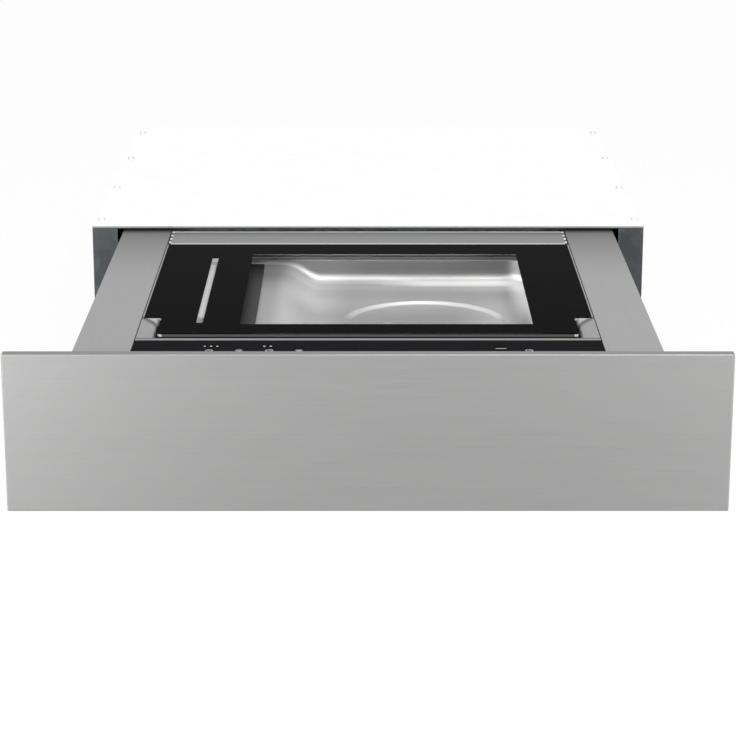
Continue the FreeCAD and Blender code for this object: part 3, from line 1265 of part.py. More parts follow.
def lead_corners():
    """Corners of the lead's path: out of the inlet, in a wave along the base, up to the drawer."""
    y_back = CARCASS_DEPTH - CARCASS_SHEET - INLET_DEPTH
    run = y_back - at(DRAWER_BACK)
    low = CARCASS_SHEET + LEAD_RADIUS + PLUNGER_GAP
    corners = []
    for index in range(LEAD_STEPS + 1):
        share = index / LEAD_STEPS
        gone = run * share
        fall = eased((gone - LEAD_STRAIGHT) / LEAD_FALL)
        climb = eased((gone - run + LEAD_STRAIGHT + LEAD_CLIMB) / LEAD_CLIMB)
        wave = math.sin(2 * math.pi * LEAD_WAVES * share) * math.sin(math.pi * share) ** 2
        z = INLET_Z + (low - INLET_Z) * fall + (LEAD_EXIT_Z - low) * climb
        corners.append(FreeCAD.Vector(INLET_X + LEAD_SWING * wave, y_back - gone, z))
    return corners


def power_lead():
    """Flexible lead between the inlet and the drawer's rear wall, its path rounded at every corner."""
    corners = lead_corners()
    edges = []
    here = corners[0]
    for before, corner, after in zip(corners, corners[1:], corners[2:]):
        back, ahead = before.sub(corner), after.sub(corner)
        half_turn = (math.pi - back.getAngle(ahead)) / 2
        if half_turn < 1e-4:
            continue
        reach = LEAD_ROUNDING * min(back.Length, ahead.Length)
        radius = reach / math.tan(half_turn)
        back.normalize()
        ahead.normalize()
        start = corner + back * reach
        end = corner + ahead * reach
        inward = (back + ahead).normalize()
        middle = corner + inward * (radius / math.cos(half_turn) - radius)
        edges.append(Part.LineSegment(here, start).toShape())
        edges.append(Part.Arc(start, middle, end).toShape())
        here = end
        print("lead radius %.1f mm" % radius)
    edges.append(Part.LineSegment(here, corners[-1]).toShape())
    path = Part.Wire(edges)
    ring = Part.Wire([Part.makeCircle(LEAD_RADIUS, corners[0], corners[1].sub(corners[0]))])
    lead = path.makePipeShell([ring], True, False)
    print("lead length %.1f mm, volume ratio %.4f"
          % (path.Length, lead.Volume / (math.pi * LEAD_RADIUS ** 2 * path.Length)))
    return lead


def both(name, build):
    """The right-hand piece and its mirror image under names of their own."""
    right = build()
    return {name + "_right": right, name + "_left": mirrored(right)}


def all_pieces():
    """Every piece of the drawer by its name."""
    pieces = {}
    for build in (carcass_base, carcass_rear_panel, carcass_top_cover, carcass_screws, mains_inlet,
                  power_lead, runner_brackets, push_latch_housing, push_latch_plunger, push_latch_spring,
                  front_panel, front_carrier, front_buffers,
                  drawer_floor, drawer_front_wall, drawer_rear_wall, deck_frame,
                  control_glass, control_housing, control_board,
                  chamber_tub, chamber_gasket, suction_port,
                  sealing_bar_carrier, sealing_bar, heating_band, bar_lift_cylinders,
                  lid_glass, lid_print, counter_bar, hinge_profile, hinge_end_caps, hinge_pins,
                  hinge_brackets, hinge_springs,
                  motor_housing, motor_shaft, cooling_fan, pump_body, pump_feet, suction_hose,
                  transformer, power_board, valve_block):
        pieces[build.__name__] = build()
    for build in (carcass_side, runner_outer, runner_middle, runner_inner, ball_cage_outer, ball_cage_inner,
                  drawer_side, deck_rail):
        pieces.update(both(build.__name__, build))
    return pieces


def main():
    """Builds every piece and writes one STEP file for each."""
    os.makedirs("parts", exist_ok=True)
    for name, shape in sorted(all_pieces().items()):
        assert shape.isValid(), name
        assert shape.Volume > 0, name
        shape.exportStep("parts/" + name + ".step")
        box = shape.BoundBox
        print("%-24s solids %2d volume %9.0f x %.1f %.1f y %.1f %.1f z %.1f %.1f"
              % (name, len(shape.Solids), shape.Volume,
                 box.XMin, box.XMax, box.YMin, box.YMax, box.ZMin, box.ZMax))


main()
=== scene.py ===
"""Looks of a vacuum sealing drawer for a kitchen niche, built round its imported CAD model."""

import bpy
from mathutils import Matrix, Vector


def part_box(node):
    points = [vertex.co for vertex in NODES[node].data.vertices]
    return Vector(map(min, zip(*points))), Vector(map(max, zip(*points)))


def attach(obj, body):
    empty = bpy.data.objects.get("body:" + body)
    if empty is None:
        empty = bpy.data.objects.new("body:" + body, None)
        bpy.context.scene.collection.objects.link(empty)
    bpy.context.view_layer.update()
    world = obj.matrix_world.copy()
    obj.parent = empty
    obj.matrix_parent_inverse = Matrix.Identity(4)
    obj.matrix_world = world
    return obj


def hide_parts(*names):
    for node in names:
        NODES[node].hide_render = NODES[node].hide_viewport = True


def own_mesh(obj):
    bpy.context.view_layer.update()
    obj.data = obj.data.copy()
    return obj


bl_info = {
    "name": "Vacuum sealing drawer",
    "version": (1, 0, 0),
    "blender": (4, 5, 0),
    "location": "View3D > Sidebar > Drawer",
    "description": "Finishes, formed pieces and studio of a vacuum sealing drawer",
    "category": "Object",
}

import math

import bmesh
import bpy
import numpy as np
from bpy.props import FloatProperty, FloatVectorProperty, IntProperty, PointerProperty
from mathutils import Euler, Vector

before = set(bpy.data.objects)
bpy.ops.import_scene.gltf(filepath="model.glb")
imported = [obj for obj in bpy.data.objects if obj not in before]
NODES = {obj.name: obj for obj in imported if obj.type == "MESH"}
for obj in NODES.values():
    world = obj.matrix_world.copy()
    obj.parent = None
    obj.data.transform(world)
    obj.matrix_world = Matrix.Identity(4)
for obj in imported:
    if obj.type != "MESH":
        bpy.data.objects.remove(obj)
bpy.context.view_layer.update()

MM = 0.001

# Photograph and its camera
IMAGE_SIDE = 736
FOCAL_PIXELS = 2406
SENSOR_MM = 36
CAMERA_PLACE = (0, -2.3433, 0.6751)
CAMERA_TILT = math.radians(16.35)

BLACK = (0.0, 0.0, 0.0)
WHITE = (1.0, 1.0, 1.0)


# Sizes and colours that a user may change

def length(name, description, default):
    """A property in metres."""
    return FloatProperty(name=name, description=description, default=default, min=0.0, unit="LENGTH",
                         precision=4)


def tint(name, description, default):
    """A colour property."""
    return FloatVectorProperty(name=name, description=description, default=default, size=3, min=0.0, max=1.0,
                               subtype="COLOR")


class DrawerSizes(bpy.types.PropertyGroup):
    """Sizes of the pieces that are formed here."""
    chamber_fillet: length("Chamber fillet", "Radius between the chamber's walls and its floor", 12.5 * MM)
    chamber_corner: length("Chamber corner", "Radius of the chamber's upright corners", 24 * MM)
    flange_reach: length("Flange reach", "Width of the chamber's flange", 13 * MM)
    flange_roll: length("Flange roll", "Radius between the flange and the walls", 1.6 * MM)
    chamber_sheet: length("Chamber sheet", "Thickness of the drawn steel", 1.0 * MM)
    ledge_width: length("Ledge width", "Width of the raised ledge at the sealing bar", 81 * MM)
    ramp_width: length("Ramp width", "Width of the slope from the ledge to the floor", 39 * MM)
    ledge_height: length("Ledge height", "Height of the ledge above the floor", 17 * MM)
    well_radius: length("Recess radius", "Radius of the round recess in the floor", 66 * MM)
    well_depth: length("Recess depth", "Depth of the round recess in the floor", 2.4 * MM)
    well_from_right: length("Recess from the right", "From the recess's centre to the right wall", 106 * MM)
    well_from_back: length("Recess from the back", "From the recess's centre to the rear wall", 139 * MM)
    well_lip: length("Recess lip", "How far the recess's slope starts outside its radius", 9 * MM)
    well_slope: length("Recess slope", "Width of the slope round the recess", 4.2 * MM)
    floor_rise: length("Floor rise", "Height of the floor's sheet above the tub's underside", 2.5 * MM)
    gasket_width: length("Gasket width", "Width of the seal", 7 * MM)
    travel: length("Travel", "How far the drawer slides", 443 * MM)
    lead_radius: length("Lead radius", "Radius of the flexible lead", 3 * MM)
    lead_length: length("Lead length", "Length of the flexible lead", 497.3 * MM)
    mark_height: length("Mark height", "Thickness of the printed key marks", 0.05 * MM)
    brush_grain: FloatProperty(name="Brush grain", description="Brush lines per metre across the grain",
                               default=7000.0, min=100.0)
    rows: IntProperty(name="Rows", description="Rows of the chamber's floor", default=64, min=8, max=128)


class DrawerColours(bpy.types.PropertyGroup):
    """Colours of the finishes."""
    front_steel: tint("Front steel", "Brushed steel of the front", (0.285, 0.285, 0.283))
    deck_steel: tint("Deck steel", "Brushed steel of the rails", (0.33, 0.33, 0.328))
    chamber_steel: tint("Chamber steel", "Satin steel of the chamber", (0.74, 0.74, 0.735))
    zinc: tint("Zinc sheet", "Dark zinc-coated sheet of the carcass", (0.045, 0.050, 0.053))
    enamel: tint("Enamel", "Black print on the glass", (0.006, 0.006, 0.007))
    silicone: tint("Silicone", "Pale silicone of the counter bar", (0.86, 0.86, 0.85))
    seal: tint("Seal", "Translucent silicone of the seal", (0.13, 0.13, 0.13))
    plastic: tint("Plastic", "Black moulded plastic", (0.018, 0.018, 0.019))
    board: tint("Board", "Circuit board", (0.012, 0.085, 0.035))


# Shader building

class Value:
    """A socket that takes part in sums; each sum adds its Math node."""

    def __init__(self, finish, socket):
        self.finish = finish
        self.socket = socket

    def math(self, operation, *values):
        """Result of a Math node."""
        inputs = dict(enumerate(values))
        return self.finish.node("Math", {"operation": operation}, inputs)

    def __add__(self, other):
        return self.math("ADD", self, other)

    def __sub__(self, other):
        return self.math("SUBTRACT", self, other)

    def __rsub__(self, other):
        return self.math("SUBTRACT", other, self)

    def __mul__(self, other):
        return self.math("MULTIPLY", self, other)

    __radd__ = __add__
    __rmul__ = __mul__

    def inside(self, low, high):
        """Smooth step of the value from low to high."""
        settings = {"interpolation_type": "SMOOTHSTEP"}
        return self.finish.node("MapRange", settings, {"Value": self, "From Min": low, "From Max": high})

    def between(self, low, high, fading, gone):
        """1 between high and fading, with a smooth rise from low and a smooth fall to gone."""
        return self.inside(low, high) * (1 - self.inside(fading, gone))


class Finish:
    """One procedural material under construction."""

    def __init__(self, name):
        self.material = bpy.data.materials.new(name)
        self.material.use_nodes = True
        self.tree = self.material.node_tree
        self.tree.nodes.clear()

    def node(self, kind, settings, inputs, output=0):
        """Adds a node: first its settings, then the values or links of its sockets."""
        node = self.tree.nodes.new("ShaderNode" + kind)
        for name, value in settings.items():
            setattr(node, name, value)
        for name, value in inputs.items():
            socket = node.inputs[name]
            if isinstance(value, Value):
                self.tree.links.new(value.socket, socket)
            else:
                socket.default_value = value
        return Value(self, node.outputs[output])

    def place(self, scale=(1, 1, 1)):
        """Object coordinates, stretched."""
        spot = self.node("TexCoord", {}, {}, "Object")
        return self.node("Mapping", {}, {"Vector": spot, "Scale": scale})

    def axis(self, name):
        """One of the object coordinates as a value."""
        return self.node("SeparateXYZ", {}, {"Vector": self.place()}, name)

    def upright(self):
        """How far the surface looks up or down: 1 when level, 0 when upright."""
        normal = self.node("NewGeometry", {}, {}, "Normal")
        level = self.node("SeparateXYZ", {}, {"Vector": normal}, "Z")
        return level.math("ABSOLUTE", level)

    def noise(self, scale, stretch=(1, 1, 1), detail=3.0, roughness=0.6):
        """Soft noise between 0 and 1."""
        inputs = {"Vector": self.place(stretch), "Scale": scale, "Detail": detail, "Roughness": roughness}
        return self.node("TexNoise", {}, inputs)

    def crystals(self, scale):
        """Flat crystals, each with a random grey between 0 and 1."""
        inputs = {"Vector": self.place(), "Scale": scale}
        colour = self.node("TexVoronoi", {"feature": "F1"}, inputs, "Color")
        return self.node("RGBToBW", {}, {0: colour})

    def blend(self, factor, first, second):
        """Colour between two colours."""
        colours = [value if isinstance(value, Value) else (*value, 1.0) for value in (first, second)]
        inputs = {0: factor, 6: colours[0], 7: colours[1]}
        return self.node("Mix", {"data_type": "RGBA"}, inputs, 2)

    def bump(self, height, distance, strength=1.0):
        """Normal of a bumpy surface; distance is the height in metres."""
        return self.node("Bump", {}, {"Height": height, "Distance": distance, "Strength": strength})

    def principled(self, **sockets):
        """The main shader; a name's underscores stand for blanks."""
        inputs = {}
        for name, value in sockets.items():
            if not isinstance(value, (Value, float, int)):
                value = (*value, 1.0)
            inputs[name.replace("_", " ")] = value
        return self.node("BsdfPrincipled", {}, inputs)

    def finished(self, shader):
        """Joins the shader to the output and returns the material."""
        output = self.tree.nodes.new("ShaderNodeOutputMaterial")
        self.tree.links.new(shader.socket, output.inputs["Surface"])
        return self.material


def scaled(colour, factor):
    """A colour made lighter or darker."""
    return tuple(min(1.0, channel * factor) for channel in colour)


# Finishes

def brushed(name, colour, along, lines, roughness=0.34, contrast=0.045, painted_shade_span=None):
    """Brushed metal: fine lines along one axis, long soft streaks and a slow unevenness.

    The noise is squeezed across the grain and drawn out along it. The optional span names two places on the
    Y axis between which the colour falls to about half, as painted shade."""
    finish = Finish(name)
    stretch = [lines / 40, lines / 40, lines / 40]
    stretch["XYZ".index(along)] = 1.2
    fine = finish.noise(14.0, stretch, detail=2.0)
    stretch["XYZ".index(along)] = 0.4
    streak = finish.noise(1.6, stretch, detail=4.0)
    slow = finish.noise(2.2, detail=1.0)
    tone = fine * 0.55 + streak * 0.2 + slow * 0.25
    tone = tone.inside(0.3, 0.7)
    paint = finish.blend(tone, scaled(colour, 1 - contrast), scaled(colour, 1 + contrast))
    # painted shade: the colour falls to about half between the two places of the span
    if painted_shade_span:
        paint = finish.blend(finish.axis("Y").inside(*painted_shade_span), paint, scaled(colour, 0.48))
    rough = fine * 0.10 + roughness
    normal = finish.bump(fine, 0.000006)
    shader = finish.principled(Base_Color=paint, Metallic=1.0, Roughness=rough, Normal=normal)
    return finish.finished(shader)


def satin_chamber(name, colour, sizes):
    """Fine satin steel of the drawn chamber with light drawing marks, painted shade and painted highlights.
    """
    finish = Finish(name)
    fine = finish.noise(900.0, (0.25, 1, 1), detail=2.0)
    cloud = finish.noise(18.0, detail=3.0)
    tone = (fine * 0.5 + cloud * 0.5).inside(0.3, 0.7)
    low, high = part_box("chamber_tub")
    column, row = finish.axis("X"), finish.axis("Y")
    upright = finish.upright()
    # painted shade: the upright walls are far darker than the floor
    wall = finish.blend(tone, scaled(colour, 0.20), scaled(colour, 0.23))
    # painted shade: darker still near the left end
    wall = finish.blend(column.inside(low.x + 68 * MM, low.x + 85 * MM), scaled(colour, 0.04), wall)
    # painted shade: the ledge is darker than the floor
    ledge = finish.blend(tone, scaled(colour, 0.45), scaled(colour, 0.50))
    floor = finish.blend(tone, scaled(colour, 0.78), scaled(colour, 0.86))
    ramp = column.inside(low.x + 85 * MM, low.x + 125 * MM)
    ground = finish.blend(ramp, ledge, floor)
    # painted highlight: the foot of the slope is lighter
    slope_highlight = ramp * (1 - column.inside(low.x + 130 * MM, low.x + 165 * MM))
    ground = finish.blend(slope_highlight, ground, scaled(colour, 1.08))
    front_shade = ramp * (1 - row.inside(high.y - 140 * MM, high.y - 70 * MM))
    ground = finish.blend(front_shade * 0.4, ground, BLACK)
    # painted highlight: the floor lightens towards the right wall
    right = column.inside(high.x - 95 * MM, high.x - 45 * MM)
    ground = finish.blend(right * 0.5, ground, colour)
    # painted shade: a darker band along the rear fillet
    rear_fillet_shade = upright.between(0.50, 0.62, 0.70, 0.82) * row.inside(high.y - 40 * MM, high.y - 30 * MM)
    ground = finish.blend(rear_fillet_shade * 0.3, ground, BLACK)
    paint = finish.blend(upright.inside(0.0, 0.75), wall, ground)
    lit = finish.blend(bent_light(finish, sizes, high, ramp), BLACK, WHITE)
    shader = finish.principled(Base_Color=paint, Metallic=0.6, Roughness=cloud * 0.08 + 0.42,
                               Emission_Color=lit, Emission_Strength=1.0, Normal=finish.bump(fine, 0.00001))
    return finish.finished(shader)


def bent_light(finish, sizes, high, ramp):
    """Faint glow that stands for the light that the thick glass bends in from the chamber's fillets.

    A line follows the rear fillet and sinks towards the right, over a soft skirt on the floor. A wide glow
    lies along the right-hand fillet, a spot in its rear corner and a thin arc on the recess's rear rim."""
    column, row, rise = finish.axis("X"), finish.axis("Y"), finish.axis("Z")
    upright = finish.upright()
    sink = column.inside(-40 * MM, 60 * MM)
    sunk_row = row + sink * (4.8 * MM)
    side = column.inside(high.x - 40 * MM, high.x - 24 * MM)

    line = sunk_row.between(high.y - 21.5 * MM, high.y - 14 * MM, high.y - 12.5 * MM, high.y - 10 * MM)
    line = line * upright.inside(0.15, 0.4) * ramp * (1 - side * 0.8)
    line_strength = 0.14 + sink * 0.31 - sink * (1 - sink) * 0.7
    skirt = sunk_row.between(high.y - 45 * MM, high.y - 25 * MM, high.y - 15 * MM, high.y - 11 * MM)

    corner = side * row.inside(high.y - 34 * MM, high.y - 24 * MM)
    corner = corner * (upright.inside(0.1, 0.3) - upright.inside(0.45, 0.75))
    streak = 0.6 + upright.inside(0.1, 0.5) * 0.4 - row.inside(high.y - 90 * MM, high.y - 60 * MM) * 0.12
    side = side * row.inside(high.y - 230 * MM, high.y - 50 * MM) * streak

    along = column - (high.x - sizes.flange_reach - sizes.well_from_right)
    across = row - (high.y - sizes.flange_reach - sizes.well_from_back)
    away = along.math("SQRT", along * along + across * across) - sizes.well_radius
    rim = away.inside(3 * MM, 4.5 * MM) - away.inside(8 * MM, 10 * MM)
    rim = rim * across.inside(10 * MM, 30 * MM)

    glow = line * line_strength + skirt * 0.09 + side * 0.42 + corner * 0.25 + rim * 0.12
    return glow * (1 - rise.inside(high.z - 2.4 * MM, high.z - 1.7 * MM))


def pressed_surround(name, colour, lines):
    """Brushed surround; each tab rolls down past a line of painted shade into a lip with a painted
    highlight.

    A narrow band just behind the surround's front edge is painted shade."""
    finish = Finish(name)
    fine = finish.noise(14.0, (1.2, lines / 40, lines / 40), detail=2.0)
    strip_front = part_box("deck_frame")[0].y
    tab_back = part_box("lid_glass")[0].y + 51 * MM
    column, row = finish.axis("X"), finish.axis("Y")
    aside = column.math("ABSOLUTE", column)
    past = (row - (tab_back - 23.5 * MM)) - (aside - 181.6 * MM) * 1.7
    # painted shade: a dark line where the tab rolls down
    crease_shade = past.inside(-9 * MM, 0.0) - past.inside(2.0 * MM, 9 * MM)
    # painted highlight: the lip beyond that line is lighter
    lip = past.inside(3 * MM, 9 * MM)
    near = (1 - row.inside(tab_back + 1 * MM, tab_back + 2 * MM)) * aside.inside(177 * MM, 178 * MM)
    tone = fine.inside(0.3, 0.7)
    plain = finish.blend(tone, scaled(colour, 0.95), scaled(colour, 1.05))
    paint = finish.blend(crease_shade * near, plain, scaled(colour, 0.22))
    paint = finish.blend(lip * near, paint, scaled(colour, 1.6))
    # painted shade: a dark band just behind the front edge
    shade = row.inside(strip_front + 3.4 * MM, strip_front + 4.2 * MM)
    shade = shade - row.inside(strip_front + 6.3 * MM, strip_front + 7 * MM)
    paint = finish.blend(shade, paint, scaled(colour, 0.2))
    shader = finish.principled(Base_Color=paint, Metallic=1.0, Roughness=fine * 0.1 + 0.35)
    return finish.finished(shader)


def edged_profile(name, colour, lines):
    """Brushed profile with a painted highlight along its back and its front edge."""
    finish = Finish(name)
    low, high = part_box("hinge_profile")
    fine = finish.noise(14.0, (1.2, lines / 40, lines / 40), detail=2.0)
    row = finish.axis("Y")
    # painted highlight: a bright band along the front edge
    edge = 1 - row.inside(low.y + 11 * MM, low.y + 14 * MM)
    tone = fine.inside(0.3, 0.7)
    middle = finish.blend(tone, scaled(colour, 0.95), scaled(colour, 1.05))
    paint = finish.blend(edge, middle, scaled(colour, 4.1))
    # painted highlight: white along the back
    paint = finish.blend(row.inside(high.y - 7 * MM, high.y - 5 * MM), paint, WHITE)
    shader = finish.principled(Base_Color=paint, Metallic=1.0, Roughness=fine * 0.1 + 0.35)
    return finish.finished(shader)


def zinc_sheet(name, colour):
    """Zinc-coated sheet: flat crystals of slightly different grey under a soft sheen."""
    finish = Finish(name)
    grey = finish.crystals(90.0)
    grain = finish.noise(500.0, detail=2.0)
    tone = grey * 0.6 + grain * 0.4
    paint = finish.blend(tone.inside(0.2, 0.8), scaled(colour, 0.86), scaled(colour, 1.14))
    shader = finish.principled(Base_Color=paint, Metallic=0.85, Roughness=grey * 0.12 + 0.38,
                               Normal=finish.bump(grain, 0.00001))
    return finish.finished(shader)


def moulded(name, colour, roughness=0.45, grain=0.00003, specular=0.35, size=700.0):
    """Moulded plastic, rubber or silicone with a fine grain."""
    finish = Finish(name)
    fine = finish.noise(size, detail=3.0)
    cloud = finish.noise(25.0, detail=2.0)
    paint = finish.blend(cloud.inside(0.3, 0.7), scaled(colour, 0.88), scaled(colour, 1.12))
    shader = finish.principled(Base_Color=paint, Roughness=fine * 0.1 + roughness - 0.05,
                               Specular_IOR_Level=specular, Normal=finish.bump(fine, grain))
    return finish.finished(shader)


def striped_cap(name, colour):
    """Dark cap with pale stripes painted across it."""
    finish = Finish(name)
    pale_stripes = finish.node("TexWave", {"bands_direction": "Y"}, {"Vector": finish.place(), "Scale": 22.0})
    paint = finish.blend(pale_stripes.inside(0.6, 0.7), colour, (0.7, 0.7, 0.7))
    shader = finish.principled(Base_Color=paint, Roughness=0.4, Specular_IOR_Level=0.3)
    return finish.finished(shader)


def pale_silicone(name, colour):
    """Pale silicone with a faint painted glow at its rear end, standing for light that the thick glass bends
    in.
    """
    finish = Finish(name)
    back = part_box("counter_bar")[1].y
    fine = finish.noise(700.0, detail=3.0)
    paint = finish.blend(fine, scaled(colour, 0.92), scaled(colour, 1.0))
    # painted glow: the bar's rear end emits a faint light
    rear_glow = finish.axis("Y").inside(back - 34 * MM, back - 8 * MM)
    lit = finish.blend(rear_glow, BLACK, (0.42, 0.42, 0.42))
    shader = finish.principled(Base_Color=paint, Roughness=0.5, Specular_IOR_Level=0.3, Emission_Color=lit,
                               Emission_Strength=1.0)
    return finish.finished(shader)


def plain_metal(name, colour, roughness=0.3, size=400.0):
    """Cast or machined metal with a fine grain and a slow unevenness."""
    finish = Finish(name)
    fine = finish.noise(size, detail=3.0)
    cloud = finish.noise(30.0, detail=2.0)
    tone = (fine * 0.5 + cloud * 0.5).inside(0.3, 0.7)
    paint = finish.blend(tone, scaled(colour, 0.85), scaled(colour, 1.12))
    shader = finish.principled(Base_Color=paint, Metallic=1.0, Roughness=cloud * 0.12 + roughness,
                               Normal=finish.bump(fine, 0.00003))
    return finish.finished(shader)


def clear_glass(name):
    """Clear plate that lets light straight through; its ground edge is grey above, lighter at its left and
    right ends as a painted highlight, and black below as painted shade.
    """
    finish = Finish(name)
    smear = finish.noise(12.0, detail=3.0)
    clear = finish.node("BsdfTransparent", {}, {"Color": (0.985, 0.987, 0.985, 1.0)})
    gloss = finish.principled(Base_Color=(0.02, 0.02, 0.02), Roughness=smear * 0.03 + 0.02,
                              Specular_IOR_Level=0.5)
    sheen = finish.node("LayerWeight", {}, {"Blend": 0.12}, "Facing")
    plate = finish.node("MixShader", {}, {0: sheen * 0.04 + 0.005, 1: clear, 2: gloss})
    bottom, top = (corner.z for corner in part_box("lid_glass"))
    rise = finish.axis("Z")
    upper = rise.inside(top - 3.2 * MM, top - 2.8 * MM) - rise.inside(top - 1.2 * MM, top - 0.8 * MM)
    column = finish.axis("X")
    aside = column.math("ABSOLUTE", column)
    # painted highlight: the edge's grey band is lighter towards the left and right ends
    bead = aside.inside(174 * MM, 176 * MM)
    lit = finish.blend(bead, (0.075, 0.075, 0.075), (0.6, 0.6, 0.6))
    # painted shade: the edge is black outside its grey band
    paint = finish.blend(upper, (0.004, 0.004, 0.004), lit)
    ground = finish.principled(Base_Color=paint, Roughness=smear * 0.1 + 0.4, Specular_IOR_Level=0.1)
    edge = rise.inside(bottom + 0.02 * MM, bottom + 0.06 * MM)
    edge = edge - rise.inside(top - 0.06 * MM, top - 0.02 * MM)
    shader = finish.node("MixShader", {}, {0: edge, 1: plate, 2: ground})
    return finish.finished(shader)


def pale_cover(name, grey):
    """Zinc-coated sheet with faint crystals, painted almost white at a low angle as a painted reflection.

    Upright faces are of the given grey at the cover's top and nearly black below it."""
    finish = Finish(name)
    tone = finish.crystals(70.0)
    patch = tone.inside(0.2, 0.8)
    bright = finish.blend(patch, (0.98, 0.98, 0.98), WHITE)
    steep = finish.blend(patch, (0.42, 0.425, 0.43), (0.48, 0.485, 0.49))
    # painted reflection: the colour turns almost white at a low angle
    facing = finish.node("LayerWeight", {}, {"Blend": 0.5}, "Facing")
    low_angle = facing.inside(0.66, 0.75)
    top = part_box("carcass_top_cover")[1].z
    hem = finish.axis("Z").inside(top - 1.7 * MM, top - 1.4 * MM)
    hem = finish.blend(hem, (0.01, 0.01, 0.01), (grey, grey, grey))
    paint = finish.blend(finish.upright().inside(0.4, 0.6), hem, finish.blend(low_angle, steep, bright))
    shader = finish.principled(Base_Color=paint, Metallic=low_angle * 0.8 + 0.2,
                               Roughness=tone * 0.06 + 0.46 - low_angle * 0.26)
    return finish.finished(shader)


def black_print(name, colour):
    """Deep black enamel with the calm shine of glass."""
    finish = Finish(name)
    cloud = finish.noise(40.0, detail=2.0)
    paint = finish.blend(cloud, scaled(colour, 0.8), scaled(colour, 1.2))
    shader = finish.principled(Base_Color=paint, Roughness=cloud * 0.03 + 0.05, Specular_IOR_Level=0.001)
    return finish.finished(shader)


def laminated(name):
    """Transformer: thin steel sheets along the core, copper-coloured winding in the middle."""
    finish = Finish(name)
    low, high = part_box("transformer")
    middle = (low + high) / 2
    sheets = finish.node("TexWave", {"bands_direction": "Y"}, {"Vector": finish.place(), "Scale": 320.0})
    core = finish.blend(sheets, (0.10, 0.10, 0.11), (0.22, 0.22, 0.23))
    turns = finish.node("TexWave", {"bands_direction": "Z"}, {"Vector": finish.place(), "Scale": 420.0})
    coil = finish.blend(turns, (0.32, 0.10, 0.03), (0.62, 0.26, 0.10))
    away = finish.axis("Y") - middle.y
    out = away.math("ABSOLUTE", away)
    reach = (high.y - low.y) / 2 - 10 * MM
    mask = out.inside(reach, reach + 0.2 * MM)
    paint = finish.blend(mask, core, coil)
    shader = finish.principled(Base_Color=paint, Metallic=0.6, Roughness=0.42,
                               Normal=finish.bump(turns, 0.00015, 0.5))
    return finish.finished(shader)


def circuit(name, colour):
    """Circuit board with pale tracks and soldered points under green lacquer."""
    finish = Finish(name)
    tracks = finish.node("TexBrick", {"offset": 0.5}, {
        "Vector": finish.place(), "Scale": 60.0, "Mortar Size": 0.06, "Color1": (*colour, 1.0),
        "Color2": (*scaled(colour, 1.3), 1.0), "Mortar": (*scaled(colour, 2.4), 1.0)})
    speck = finish.node("TexVoronoi", {}, {"Vector": finish.place(), "Scale": 140.0}, "Distance")
    paint = finish.blend(1 - speck.inside(0.12, 0.2), tracks, (0.5, 0.5, 0.48))
    shader = finish.principled(Base_Color=paint, Roughness=0.35, Specular_IOR_Level=0.4)
    return finish.finished(shader)


def wear(names, material):
    """Gives CAD nodes a finish."""
    for name in names:
        slots = NODES[name].data.materials
        slots.clear()
        slots.append(material)


def both_sides(*names):
    """Left and right nodes of each name."""
    return [name + side for name in names for side in ("_left", "_right")]


# Surfaces

def surface(name, points, material, wrap_rows=False, wrap_columns=False, sharp=0.6):
    """Object of a grid of points, an array of rows by columns by 3, joined round where it wraps."""
    rows, columns = points.shape[:2]
    row = np.arange(rows if wrap_rows else rows - 1)[:, None]
    column = np.arange(columns if wrap_columns else columns - 1)[None, :]
    next_row, next_column = (row + 1) % rows, (column + 1) % columns
    corners = [row * columns + column, row * columns + next_column,
               next_row * columns + next_column, next_row * columns + column]
    faces = np.stack(np.broadcast_arrays(*corners), axis=-1).reshape(-1, 4)
    return solid(name, points.reshape(-1, 3), faces, material, sharp)


def solid(name, points, faces, material, sharp=0.6):
    """Object of points and faces; doubles are merged and the faces turned outwards."""
    mesh = bpy.data.meshes.new(name)
    mesh.from_pydata(np.asarray(points).tolist(), [], np.asarray(faces).tolist())
    work = bmesh.new()
    work.from_mesh(mesh)
    bmesh.ops.remove_doubles(work, verts=work.verts, dist=1e-6)
    bmesh.ops.dissolve_degenerate(work, edges=work.edges, dist=1e-7)
    bmesh.ops.recalc_face_normals(work, faces=work.faces)
    work.to_mesh(mesh)
    work.free()
    mesh.shade_smooth()
    mesh.set_sharp_from_angle(angle=sharp)
    mesh.materials.append(material)
    piece = bpy.data.objects.new(name, mesh)
    bpy.context.scene.collection.objects.link(piece)
    return piece


def rounded_ring(left, right, front, back, radius, per_corner=20, per_side=60):
    """Points of a rectangle with round corners, and their outward directions.

    Each corner is a quarter circle; the sides between are straight and evenly divided."""
    points, ways = [], []
    centres = ((right - radius, back - radius), (left + radius, back - radius),
               (left + radius, front + radius), (right - radius, front + radius))
    for index, (x, y) in enumerate(centres):
        angle = np.linspace(index, index + 1, per_corner) * math.pi / 2
        way = np.stack([np.cos(angle), np.sin(angle)], axis=1)
        arc = np.array([x, y]) + radius * way
        after = np.array(centres[(index + 1) % 4]) + radius * way[-1]
        share = np.linspace(0, 1, per_side + 1, endpoint=False)[1:, None]
        points += [arc, arc[-1] + (after - arc[-1]) * share]
        ways += [way, np.repeat(way[-1:], per_side, axis=0)]
    return np.concatenate(points), np.concatenate(ways)


